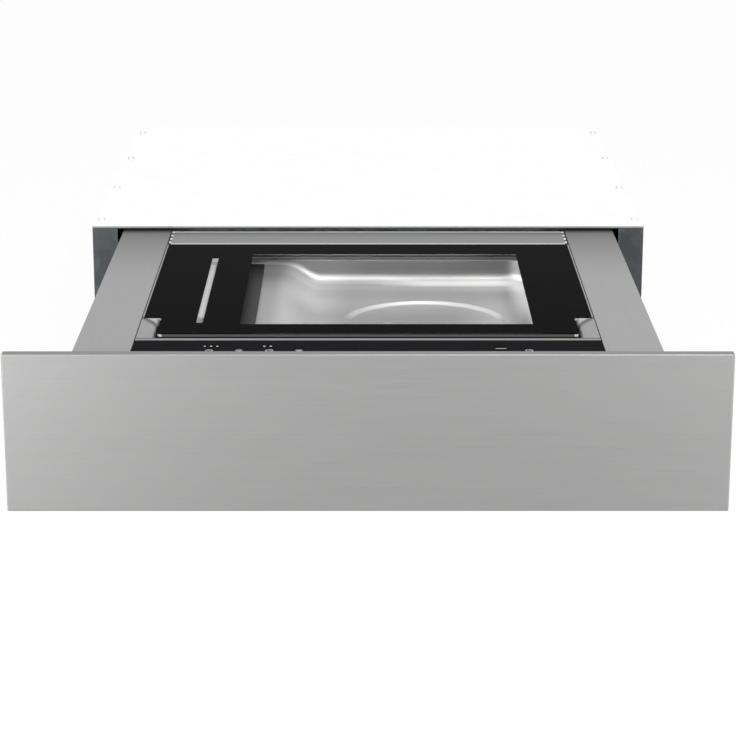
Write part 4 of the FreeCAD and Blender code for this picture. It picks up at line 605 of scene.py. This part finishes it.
def tube(name, path, radius, material, sides=16, closed=False):
    """Round tube: a circle carried along the path, square to its direction, its ends capped to a point."""
    ahead = np.roll(path, -1, axis=0) - np.roll(path, 1, axis=0)
    if not closed:
        ahead[0], ahead[-1] = path[1] - path[0], path[-1] - path[-2]
    ahead /= np.linalg.norm(ahead, axis=1, keepdims=True)
    lean = np.eye(3)[np.argmin(np.abs(ahead).mean(axis=0))]
    side = np.cross(ahead, lean)
    side /= np.linalg.norm(side, axis=1, keepdims=True)
    up = np.cross(side, ahead)
    turn = np.linspace(0, 2 * math.pi, sides, endpoint=False)[None, :, None]
    rings = path[:, None] + radius * (side[:, None] * np.cos(turn) + up[:, None] * np.sin(turn))
    if not closed:
        ends = [np.repeat(path[end][None, None], sides, axis=1) for end in (0, -1)]
        rings = np.concatenate([ends[0], rings, ends[1]])
    return surface(name, rings, material, wrap_rows=closed, wrap_columns=True)


def eased(share):
    """Smooth step from 0 to 1."""
    share = np.clip(share, 0, 1)
    return share * share * (3 - 2 * share)


class DrawerStep:
    """What the steps share."""
    bl_options = {"REGISTER", "UNDO"}

    def execute(self, context):
        self.make(context.scene.drawer_sizes, context.scene.drawer_colours)
        return {"FINISHED"}


# Finishes of the CAD pieces

class FinishFront(DrawerStep, bpy.types.Operator):
    """Brush the steel front and finish what lies behind it"""
    bl_idname = "drawer.finish_front"
    bl_label = "Front"

    def make(self, sizes, colours):
        steel = scaled(colours.front_steel, 0.79)
        wear(["front_panel"], brushed("brushed_front", steel, "X", sizes.brush_grain, 0.46))
        wear(["front_carrier"], zinc_sheet("carrier_sheet", scaled(colours.zinc, 5.0)))
        wear(["front_buffers"], moulded("buffer_rubber", (0.02, 0.02, 0.02), 0.6))


class FinishDeck(DrawerStep, bpy.types.Operator):
    """Brush the rails and the pressed surround"""
    bl_idname = "drawer.finish_deck"
    bl_label = "Deck"

    def make(self, sizes, colours):
        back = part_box("deck_rail_left")[1].y
        steel = scaled(colours.deck_steel, 0.95)
        # painted shade: the rails darken towards their rear end
        wear(both_sides("deck_rail"), brushed("brushed_rail", steel, "Y", sizes.brush_grain, 0.46,
                                              painted_shade_span=(back - 240 * MM, back + 20 * MM)))
        steel = scaled(colours.deck_steel, 0.84)
        wear(["deck_frame"], pressed_surround("brushed_surround", steel, sizes.brush_grain))


class FinishLid(DrawerStep, bpy.types.Operator):
    """Finish the glass lid, its print, its hinge and the counter bar"""
    bl_idname = "drawer.finish_lid"
    bl_label = "Lid"

    def make(self, sizes, colours):
        wear(["lid_glass"], clear_glass("clear_plate"))
        wear(["lid_print"], black_print("black_enamel", scaled(colours.enamel, 0.3)))
        wear(["counter_bar"], pale_silicone("pale_silicone", colours.silicone))
        steel = (0.212, 0.212, 0.212)
        wear(["hinge_profile"], edged_profile("brushed_profile", steel, sizes.brush_grain))
        wear(["hinge_end_caps"], striped_cap("cap_plastic", colours.plastic))
        wear(["hinge_pins"], plain_metal("ground_pin", (0.55, 0.55, 0.54), 0.18))


class FinishControls(DrawerStep, bpy.types.Operator):
    """Finish the touch strip and its tray"""
    bl_idname = "drawer.finish_controls"
    bl_label = "Controls"

    def make(self, sizes, colours):
        wear(["control_glass"], black_print("control_enamel", colours.enamel))
        wear(["control_housing"], moulded("tray_plastic", colours.plastic, 0.5))
        wear(["control_board"], circuit("touch_circuit", colours.board))


class FinishChamberParts(DrawerStep, bpy.types.Operator):
    """Finish the sealing bar, its carrier, its cylinders and the suction port"""
    bl_idname = "drawer.finish_chamber_parts"
    bl_label = "Sealing bar and port"

    def make(self, sizes, colours):
        wear(["sealing_bar"], brushed("bar_aluminium", (0.6, 0.6, 0.6), "Y", sizes.brush_grain, 0.3))
        wear(["heating_band"], moulded("band_cloth", (0.30, 0.17, 0.075), 0.6, 0.00008, 0.3, 1400.0))
        wear(["sealing_bar_carrier"], moulded("carrier_plastic", colours.plastic, 0.5, specular=0.1))
        wear(["suction_port"], plain_metal("port_metal", (0.5, 0.5, 0.5), 0.25))
        wear(["bar_lift_cylinders"], plain_metal("cylinder_metal", (0.45, 0.46, 0.47), 0.3))


class FinishCarcass(DrawerStep, bpy.types.Operator):
    """Finish the carcass, its screws, the latch and the mains inlet"""
    bl_idname = "drawer.finish_carcass"
    bl_label = "Carcass"

    def make(self, sizes, colours):
        sheet = zinc_sheet("carcass_zinc", colours.zinc)
        wear(["carcass_base", "carcass_rear_panel", "runner_brackets", *both_sides("carcass_side")], sheet)
        wear(["carcass_top_cover"], pale_cover("cover_zinc", 0.15))
        wear(["carcass_screws"], pale_cover("screw_metal", 0.5))
        black = moulded("black_moulding", colours.plastic)
        wear(["push_latch_housing", "mains_inlet"], black)
        wear(["push_latch_plunger"], moulded("pale_plunger", (0.55, 0.55, 0.53), 0.4))


class FinishRunners(DrawerStep, bpy.types.Operator):
    """Finish the runners and their balls"""
    bl_idname = "drawer.finish_runners"
    bl_label = "Runners"

    def make(self, sizes, colours):
        steel = brushed("drawn_runner", (0.40, 0.41, 0.42), "Y", sizes.brush_grain / 2, 0.3)
        wear(both_sides("runner_outer", "runner_middle", "runner_inner"), steel)
        balls = plain_metal("ball_steel", (0.6, 0.6, 0.6), 0.12)
        wear(both_sides("ball_cage_outer", "ball_cage_inner"), balls)


class FinishBox(DrawerStep, bpy.types.Operator):
    """Finish the sheet box of the drawer and the hinge brackets"""
    bl_idname = "drawer.finish_box"
    bl_label = "Drawer box"

    def make(self, sizes, colours):
        sheet = zinc_sheet("box_zinc", scaled(colours.zinc, 6.5))
        wear(["drawer_floor", "drawer_front_wall", "drawer_rear_wall", *both_sides("drawer_side")], sheet)
        wear(["hinge_brackets"], plain_metal("bracket_steel", (0.42, 0.42, 0.43), 0.32))


class FinishMachinery(DrawerStep, bpy.types.Operator):
    """Finish the pump, the motor, the fan, the valve and the electrics"""
    bl_idname = "drawer.finish_machinery"
    bl_label = "Machinery"

    def make(self, sizes, colours):
        cast = plain_metal("cast_aluminium", (0.46, 0.46, 0.46), 0.42, 900.0)
        wear(["motor_housing", "pump_body"], cast)
        wear(["motor_shaft"], plain_metal("shaft_steel", (0.55, 0.55, 0.55), 0.2))
        wear(["cooling_fan"], moulded("fan_plastic", (0.03, 0.03, 0.032)))
        wear(["pump_feet"], moulded("foot_rubber", (0.02, 0.02, 0.02), 0.65))
        wear(["suction_hose"], moulded("hose_silicone", (0.45, 0.44, 0.42), 0.35))
        wear(["transformer"], laminated("core_and_coil"))
        wear(["power_board"], circuit("power_circuit", colours.board))
        wear(["valve_block"], moulded("valve_plastic", (0.03, 0.03, 0.035), 0.4))


# Pieces formed here

class FormChamber(DrawerStep, bpy.types.Operator):
    """Form the drawn chamber with its wide fillets, ledge, slope and round recess"""
    bl_idname = "drawer.form_chamber"
    bl_label = "Chamber"

    def make(self, sizes, colours):
        low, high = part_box("chamber_tub")
        reach, corner, roll = sizes.flange_reach, sizes.chamber_corner, sizes.flange_roll
        left, right = low.x + reach, high.x - reach
        front, back = low.y + reach, high.y - reach
        top = high.z
        sheet = sizes.chamber_sheet
        floor = low.z + sheet + sizes.floor_rise
        ring, way = rounded_ring(left, right, front, back, corner)
        centre = np.array([right - sizes.well_from_right, back - sizes.well_from_back])

        def height(place):
            """Floor height: an S-shaped slope by X, less a soft-edged round recess."""
            x = place[..., 0]
            slope = eased((left + sizes.ledge_width + sizes.ramp_width - x) / sizes.ramp_width)
            away = np.linalg.norm(place - centre, axis=-1)
            recess = eased((sizes.well_radius + sizes.well_lip - away) / sizes.well_slope)
            return floor + sizes.ledge_height * slope - sizes.well_depth * recess

        ground = height(ring)
        fillet = np.minimum(sizes.chamber_fillet, top - roll - ground - 0.2 * MM)
        rows = []

        def add(outwards, z):
            """One row: the ring pushed outwards by an amount, at a height."""
            place = ring + way * np.broadcast_to(outwards, len(ring))[:, None]
            rows.append(np.column_stack([place, np.broadcast_to(z, len(ring))]))

        for share in np.linspace(1, 0, 4):
            add(roll + (reach - roll) * share, top)
        for angle in np.linspace(0, math.pi / 2, 7)[1:]:
            add(roll * (1 - math.sin(angle)), top - roll * (1 - math.cos(angle)))
        for share in (0.33, 0.67):
            add(0.0, top - roll + (ground + fillet - top + roll) * share)
        for angle in np.linspace(0, math.pi / 2, 13):
            inwards = fillet * (1 - math.cos(angle))
            place = ring - way * inwards[:, None]
            lift = fillet * (1 - math.sin(angle))
            rows.append(np.column_stack([place, height(place) + lift]))
        edge = rows[-1][:, :2] - centre
        span = np.linalg.norm(edge, axis=1, keepdims=True)
        edge = edge / span
        rim = sizes.well_radius + 3 * MM
        for share in np.linspace(1, 0, sizes.rows)[1:]:
            place = centre + edge * (rim + (span - rim) * share)
            rows.append(np.column_stack([place, height(place)]))
        for distance in np.concatenate([np.linspace(rim, rim - 7 * MM, 12)[1:],
                                        np.linspace(rim - 7 * MM, 0, 12)[1:]]):
            place = centre + edge * distance
            rows.append(np.column_stack([place, height(place)]))
        steel = satin_chamber("satin_chamber", colours.chamber_steel, sizes)
        tub = surface("chamber_formed", np.stack(rows), steel, wrap_columns=True, sharp=1.2)
        face_upwards(tub)
        wall = tub.modifiers.new("sheet", "SOLIDIFY")
        wall.thickness = sheet
        wall.offset = -1.0
        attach(tub, "drawer")
        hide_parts("chamber_tub")


def face_upwards(piece):
    """Turns an open sheet so that its faces look up."""
    mesh = piece.data
    work = bmesh.new()
    work.from_mesh(mesh)
    if sum(face.normal.z * face.calc_area() for face in work.faces) < 0:
        bmesh.ops.reverse_faces(work, faces=work.faces)
    work.to_mesh(mesh)
    work.free()


class FormGasket(DrawerStep, bpy.types.Operator):
    """Form the silicone seal round the chamber"""
    bl_idname = "drawer.form_gasket"
    bl_label = "Gasket"

    def make(self, sizes, colours):
        low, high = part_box("chamber_gasket")
        ring, way = rounded_ring(low.x, high.x, low.y, high.y, sizes.chamber_corner + 8.5 * MM)
        tall = high.z - low.z
        turn = np.linspace(0, 2 * math.pi, 40, endpoint=False)
        bead = 1 + 0.18 * np.cos(3 * turn)
        across = sizes.gasket_width / 2 * (np.cos(turn) * bead / bead.max() - 1)
        up = low.z + tall / 2 + tall / 2 * np.clip(np.sin(turn) * 1.3, -1, 1)
        place = ring[:, None] + way[:, None] * across[None, :, None]
        points = np.concatenate([place, np.broadcast_to(up[None, :, None], (*place.shape[:2], 1))], axis=2)
        silicone = moulded("seal_silicone", colours.seal, 0.7, specular=0.1)
        seal = surface("gasket_formed", points, silicone, wrap_rows=True, wrap_columns=True)
        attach(seal, "drawer")
        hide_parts("chamber_gasket")


def helix(start, end, radius, turns, steps=24):
    """Path of a coil spring: a circle round the axis from start to end, which differ along one axis."""
    start, end = np.array(start), np.array(end)
    share = np.linspace(0, 1, int(turns * steps))
    axis = np.argmax(np.abs(end - start))
    turn = 2 * math.pi * turns * share
    path = start + (end - start) * share[:, None]
    path[:, (axis + 1) % 3] += radius * np.cos(turn)
    path[:, (axis + 2) % 3] += radius * np.sin(turn)
    return path


class FormSprings(DrawerStep, bpy.types.Operator):
    """Wind the springs of the lid's hinge and of the push latch"""
    bl_idname = "drawer.form_springs"
    bl_label = "Springs"

    def make(self, sizes, colours):
        steel = plain_metal("spring_wire", (0.5, 0.5, 0.5), 0.22)
        low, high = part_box("hinge_springs")
        wire = 0.95 * MM
        radius = (high.z - low.z) / 2 - wire
        y, z = (low.y + high.y) / 2, (low.z + high.z) / 2
        coil_width = 15 * MM
        inner_end, outer_end = high.x - coil_width + wire, high.x - wire
        for side, sign in (("left", -1), ("right", 1)):
            path = helix((sign * inner_end, y, z), (sign * outer_end, y, z), radius, 6)
            spring = tube("hinge_spring_" + side, path, wire, steel, sides=10)
            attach(spring, "drawer")
            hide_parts("hinge_springs")
        low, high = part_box("push_latch_spring")
        wire = 0.5 * MM
        x, z = (low.x + high.x) / 2, (low.z + high.z) / 2
        path = helix((x, low.y + wire, z), (x, high.y - wire, z), (high.x - low.x) / 2 - wire, 7)
        spring = tube("latch_spring", path, wire, steel, sides=8)
        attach(spring, "carcass")
        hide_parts("push_latch_spring")
        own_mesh(spring)


class FormLead(DrawerStep, bpy.types.Operator):
    """Lay the flexible lead between the inlet and the drawer: it falls, swings aside and climbs"""
    bl_idname = "drawer.form_lead"
    bl_label = "Lead"

    def make(self, sizes, colours):
        inlet_low, inlet_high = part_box("mains_inlet")
        x = (inlet_low.x + inlet_high.x) / 2
        start_z = (inlet_low.z + inlet_high.z) / 2
        back, front = inlet_low.y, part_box("drawer_rear_wall")[1].y
        end_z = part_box("drawer_floor")[1].z + 14 * MM
        base_sheet, gap = 1 * MM, 0.3 * MM
        ground = base_sheet + sizes.lead_radius + gap
        run = back - front
        straight, fall_run, climb_run, swing = 30 * MM, 120 * MM, 100 * MM, 34 * MM
        share = np.linspace(0, 1, 17)
        gone = run * share
        fall = eased((gone - straight) / fall_run)
        climb = eased((gone - run + straight + climb_run) / climb_run)
        wave = np.sin(3 * math.pi * share) * np.sin(math.pi * share) ** 2
        route = np.column_stack([x + swing * wave, back - gone,
                                 start_z + (ground - start_z) * fall + (end_z - ground) * climb])
        curve = bpy.data.curves.new("lead_line", "CURVE")
        curve.dimensions = "3D"
        spline = curve.splines.new("NURBS")
        spline.points.add(len(route) - 1)
        for point, place in zip(spline.points, route):
            point.co = (*place, 1)
        spline.order_u = 3
        spline.use_endpoint_u = True
        line = bpy.data.meshes.new_from_object(bpy.data.objects.new("lead_line", curve))
        path = np.array([point.co for point in line.vertices])
        bpy.data.meshes.remove(line)
        bpy.data.curves.remove(curve)
        sheath = moulded("lead_sheath", (0.015, 0.015, 0.015), 0.5)
        lead = tube("lead_formed", path, sizes.lead_radius, sheath)
        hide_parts("power_lead")
        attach(lead, "carcass")
        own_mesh(lead)


def disc(x, y, radius, sides=20, inner=0.0):
    """Flat disc or ring as points and faces."""
    turn = np.linspace(0, 2 * math.pi, sides, endpoint=False)
    circle = np.column_stack([np.cos(turn), np.sin(turn)])
    if not inner:
        return np.array([x, y]) + radius * circle, [list(range(sides))]
    points = np.concatenate([radius * circle, inner * circle]) + np.array([x, y])
    index = np.arange(sides)
    after = (index + 1) % sides
    return points, np.column_stack([index, after, after + sides, index + sides]).tolist()


def bar(x, y, wide, deep):
    """Flat rectangle as points and faces."""
    corner = np.array([[-1, -1], [1, -1], [1, 1], [-1, 1]]) * np.array([wide, deep]) / 2
    return corner + np.array([x, y]), [[0, 1, 2, 3]]


class FormKeyMarks(DrawerStep, bpy.types.Operator):
    """Print plain symbols and level dots on the touch strip"""
    bl_idname = "drawer.form_key_marks"
    bl_label = "Key marks"

    def make(self, sizes, colours):
        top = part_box("control_glass")[1].z
        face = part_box("front_panel")[0].y
        dots, symbols, slot = face + 44 * MM, face + 31 * MM, face + 37 * MM
        dot, key, thickness = 1.0 * MM, 3.2 * MM, 0.7 * MM
        shapes = [disc(x * MM, dots, dot) for x in (-135.6, -130.4, -125.2, -86.0, -80.8)]
        for x in (-131.3, -81.6, 133.0):
            shapes.append(disc(x * MM, symbols, key, 28, key - thickness))
            shapes.append(bar(x * MM, symbols, 2.6 * MM, thickness))
        for x in (-106.7, -57.1):
            for row in (-1, 0, 1):
                wide = 2 * key - abs(row) * 1.6 * MM
                shapes.append(bar(x * MM, symbols + row * 1.9 * MM, wide, thickness))
        shapes.append(bar(110 * MM, slot, 9 * MM, 1.0 * MM))
        points, faces = [], []
        for flat, rings in shapes:
            faces += [[index + sum(map(len, points)) for index in ring] for ring in rings]
            points.append(flat)
        flat = np.concatenate(points)
        points = np.column_stack([flat, np.full(len(flat), top + sizes.mark_height)])
        ink = moulded("mark_ink", (0.55, 0.55, 0.55), 0.5, 0.000005)
        marks = solid("key_marks", points, faces_of(faces), ink)
        face_upwards(marks)
        layer = marks.modifiers.new("ink", "SOLIDIFY")
        layer.thickness = sizes.mark_height
        layer.offset = -1.0
        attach(marks, "drawer")


def faces_of(faces):
    """Faces of unequal length as an object array."""
    table = np.empty(len(faces), dtype=object)
    table[:] = faces
    return table


# Studio

class SetStage(DrawerStep, bpy.types.Operator):
    """Set up the floor, the lamps, the world and the camera"""
    bl_idname = "drawer.set_stage"
    bl_label = "Stage"

    def make(self, sizes, colours):
        scene = bpy.context.scene
        scene.view_settings.view_transform = "Standard"
        self.floor()
        self.world(scene)
        self.lamps(scene)
        self.camera(scene)

    def seen(self, finish):
        """1 for camera, glossy and transmission rays, else 0."""
        rays = [finish.node("LightPath", {}, {}, name)
                for name in ("Is Camera Ray", "Is Glossy Ray", "Is Transmission Ray")]
        return rays[0].math("MAXIMUM", rays[0].math("MAXIMUM", rays[0], rays[1]), rays[2])

    def floor(self):
        """A wide pale sheet that shows white and keeps a soft shadow."""
        finish = Finish("pale_floor")
        matt = finish.principled(Base_Color=(0.86, 0.86, 0.86), Roughness=0.9, Specular_IOR_Level=0.0)
        glow = finish.node("Emission", {}, {"Color": (1, 1, 1, 1), "Strength": 1.0})
        shader = finish.node("MixShader", {}, {0: self.seen(finish) * 0.96, 1: matt, 2: glow})
        reach = 6.0
        line = np.linspace(-reach, reach, 9)
        x, y = np.meshgrid(line, line)
        points = np.stack([x, y, np.full_like(x, -0.3 * MM)], axis=-1)
        sheet = surface("studio_floor", points, finish.finished(shader))
        face_upwards(sheet)

    def world(self, scene):
        """White for the camera and in reflections, a plain grey light elsewhere."""
        world = bpy.data.worlds.new("studio_world")
        world.use_nodes = True
        scene.world = world
        finish = Finish.__new__(Finish)
        finish.tree = world.node_tree
        finish.tree.nodes.clear()
        light = finish.node("Background", {}, {"Color": (0.9, 0.92, 0.95, 1), "Strength": 0.5})
        white = finish.node("Background", {}, {"Color": (1, 1, 1, 1), "Strength": 1.0})
        shader = finish.node("MixShader", {}, {0: self.seen(finish), 1: light, 2: white})
        output = finish.tree.nodes.new("ShaderNodeOutputWorld")
        finish.tree.links.new(shader.socket, output.inputs["Surface"])

    def lamps(self, scene):
        """Soft lamps: one above, one high in front and a low one at each side of the front."""
        for name, place, target, size, power in (
                ("lamp_above", (0.3, -0.45, 1.7), (0, -0.25, 0), 0.8, 7.0),
                ("lamp_front", (0.5, -1.5, 1.75), (0, -0.2, 0.1), 0.9, 27.0),
                ("lamp_left", (-1.15, -1.6, 0.22), (-0.28, -0.465, 0.07), 0.6, 44.0),
                ("lamp_right", (1.3, -1.6, 0.25), (0.28, -0.465, 0.07), 0.6, 33.0)):
            lamp = bpy.data.lights.new(name, "AREA")
            lamp.shape = "SQUARE"
            lamp.size = size
            lamp.energy = power
            holder = bpy.data.objects.new(name, lamp)
            holder.location = place
            holder.visible_camera = False
            holder.rotation_euler = (Vector(target) - Vector(place)).to_track_quat("-Z", "Y").to_euler()
            scene.collection.objects.link(holder)

    def camera(self, scene):
        """A long lens from the front, a little above."""
        lens = bpy.data.cameras.new("photo_camera")
        lens.sensor_width = SENSOR_MM
        lens.lens = FOCAL_PIXELS / IMAGE_SIDE * SENSOR_MM
        holder = bpy.data.objects.new("photo_camera", lens)
        holder.location = CAMERA_PLACE
        holder.rotation_euler = Euler((math.pi / 2 - CAMERA_TILT, 0, 0))
        scene.collection.objects.link(holder)
        scene.camera = holder


STEPS = (FinishFront, FinishDeck, FinishLid, FinishControls, FinishChamberParts, FinishCarcass,
         FinishRunners, FinishBox, FinishMachinery, FormChamber, FormGasket, FormSprings, FormLead,
         FormKeyMarks, SetStage)


class DrawerPanel(bpy.types.Panel):
    """Lists the steps in the sidebar."""
    bl_idname = "VIEW3D_PT_drawer"
    bl_label = "Vacuum sealing drawer"
    bl_space_type = "VIEW_3D"
    bl_region_type = "UI"
    bl_category = "Drawer"

    def draw(self, context):
        for group in (context.scene.drawer_sizes, context.scene.drawer_colours):
            for name in group.__annotations__:
                self.layout.prop(group, name)
        for step in STEPS:
            self.layout.operator(step.bl_idname)


def register():
    for kind in (DrawerSizes, DrawerColours, *STEPS, DrawerPanel):
        bpy.utils.register_class(kind)
    bpy.types.Scene.drawer_sizes = PointerProperty(type=DrawerSizes)
    bpy.types.Scene.drawer_colours = PointerProperty(type=DrawerColours)


def unregister():
    del bpy.types.Scene.drawer_colours
    del bpy.types.Scene.drawer_sizes
    for kind in reversed((DrawerSizes, DrawerColours, *STEPS, DrawerPanel)):
        bpy.utils.unregister_class(kind)


def main():
    """Runs every step in order."""
    register()
    for step in STEPS:
        group, name = step.bl_idname.split(".")
        getattr(getattr(bpy.ops, group), name)()


if __name__ == "__main__":
    main()
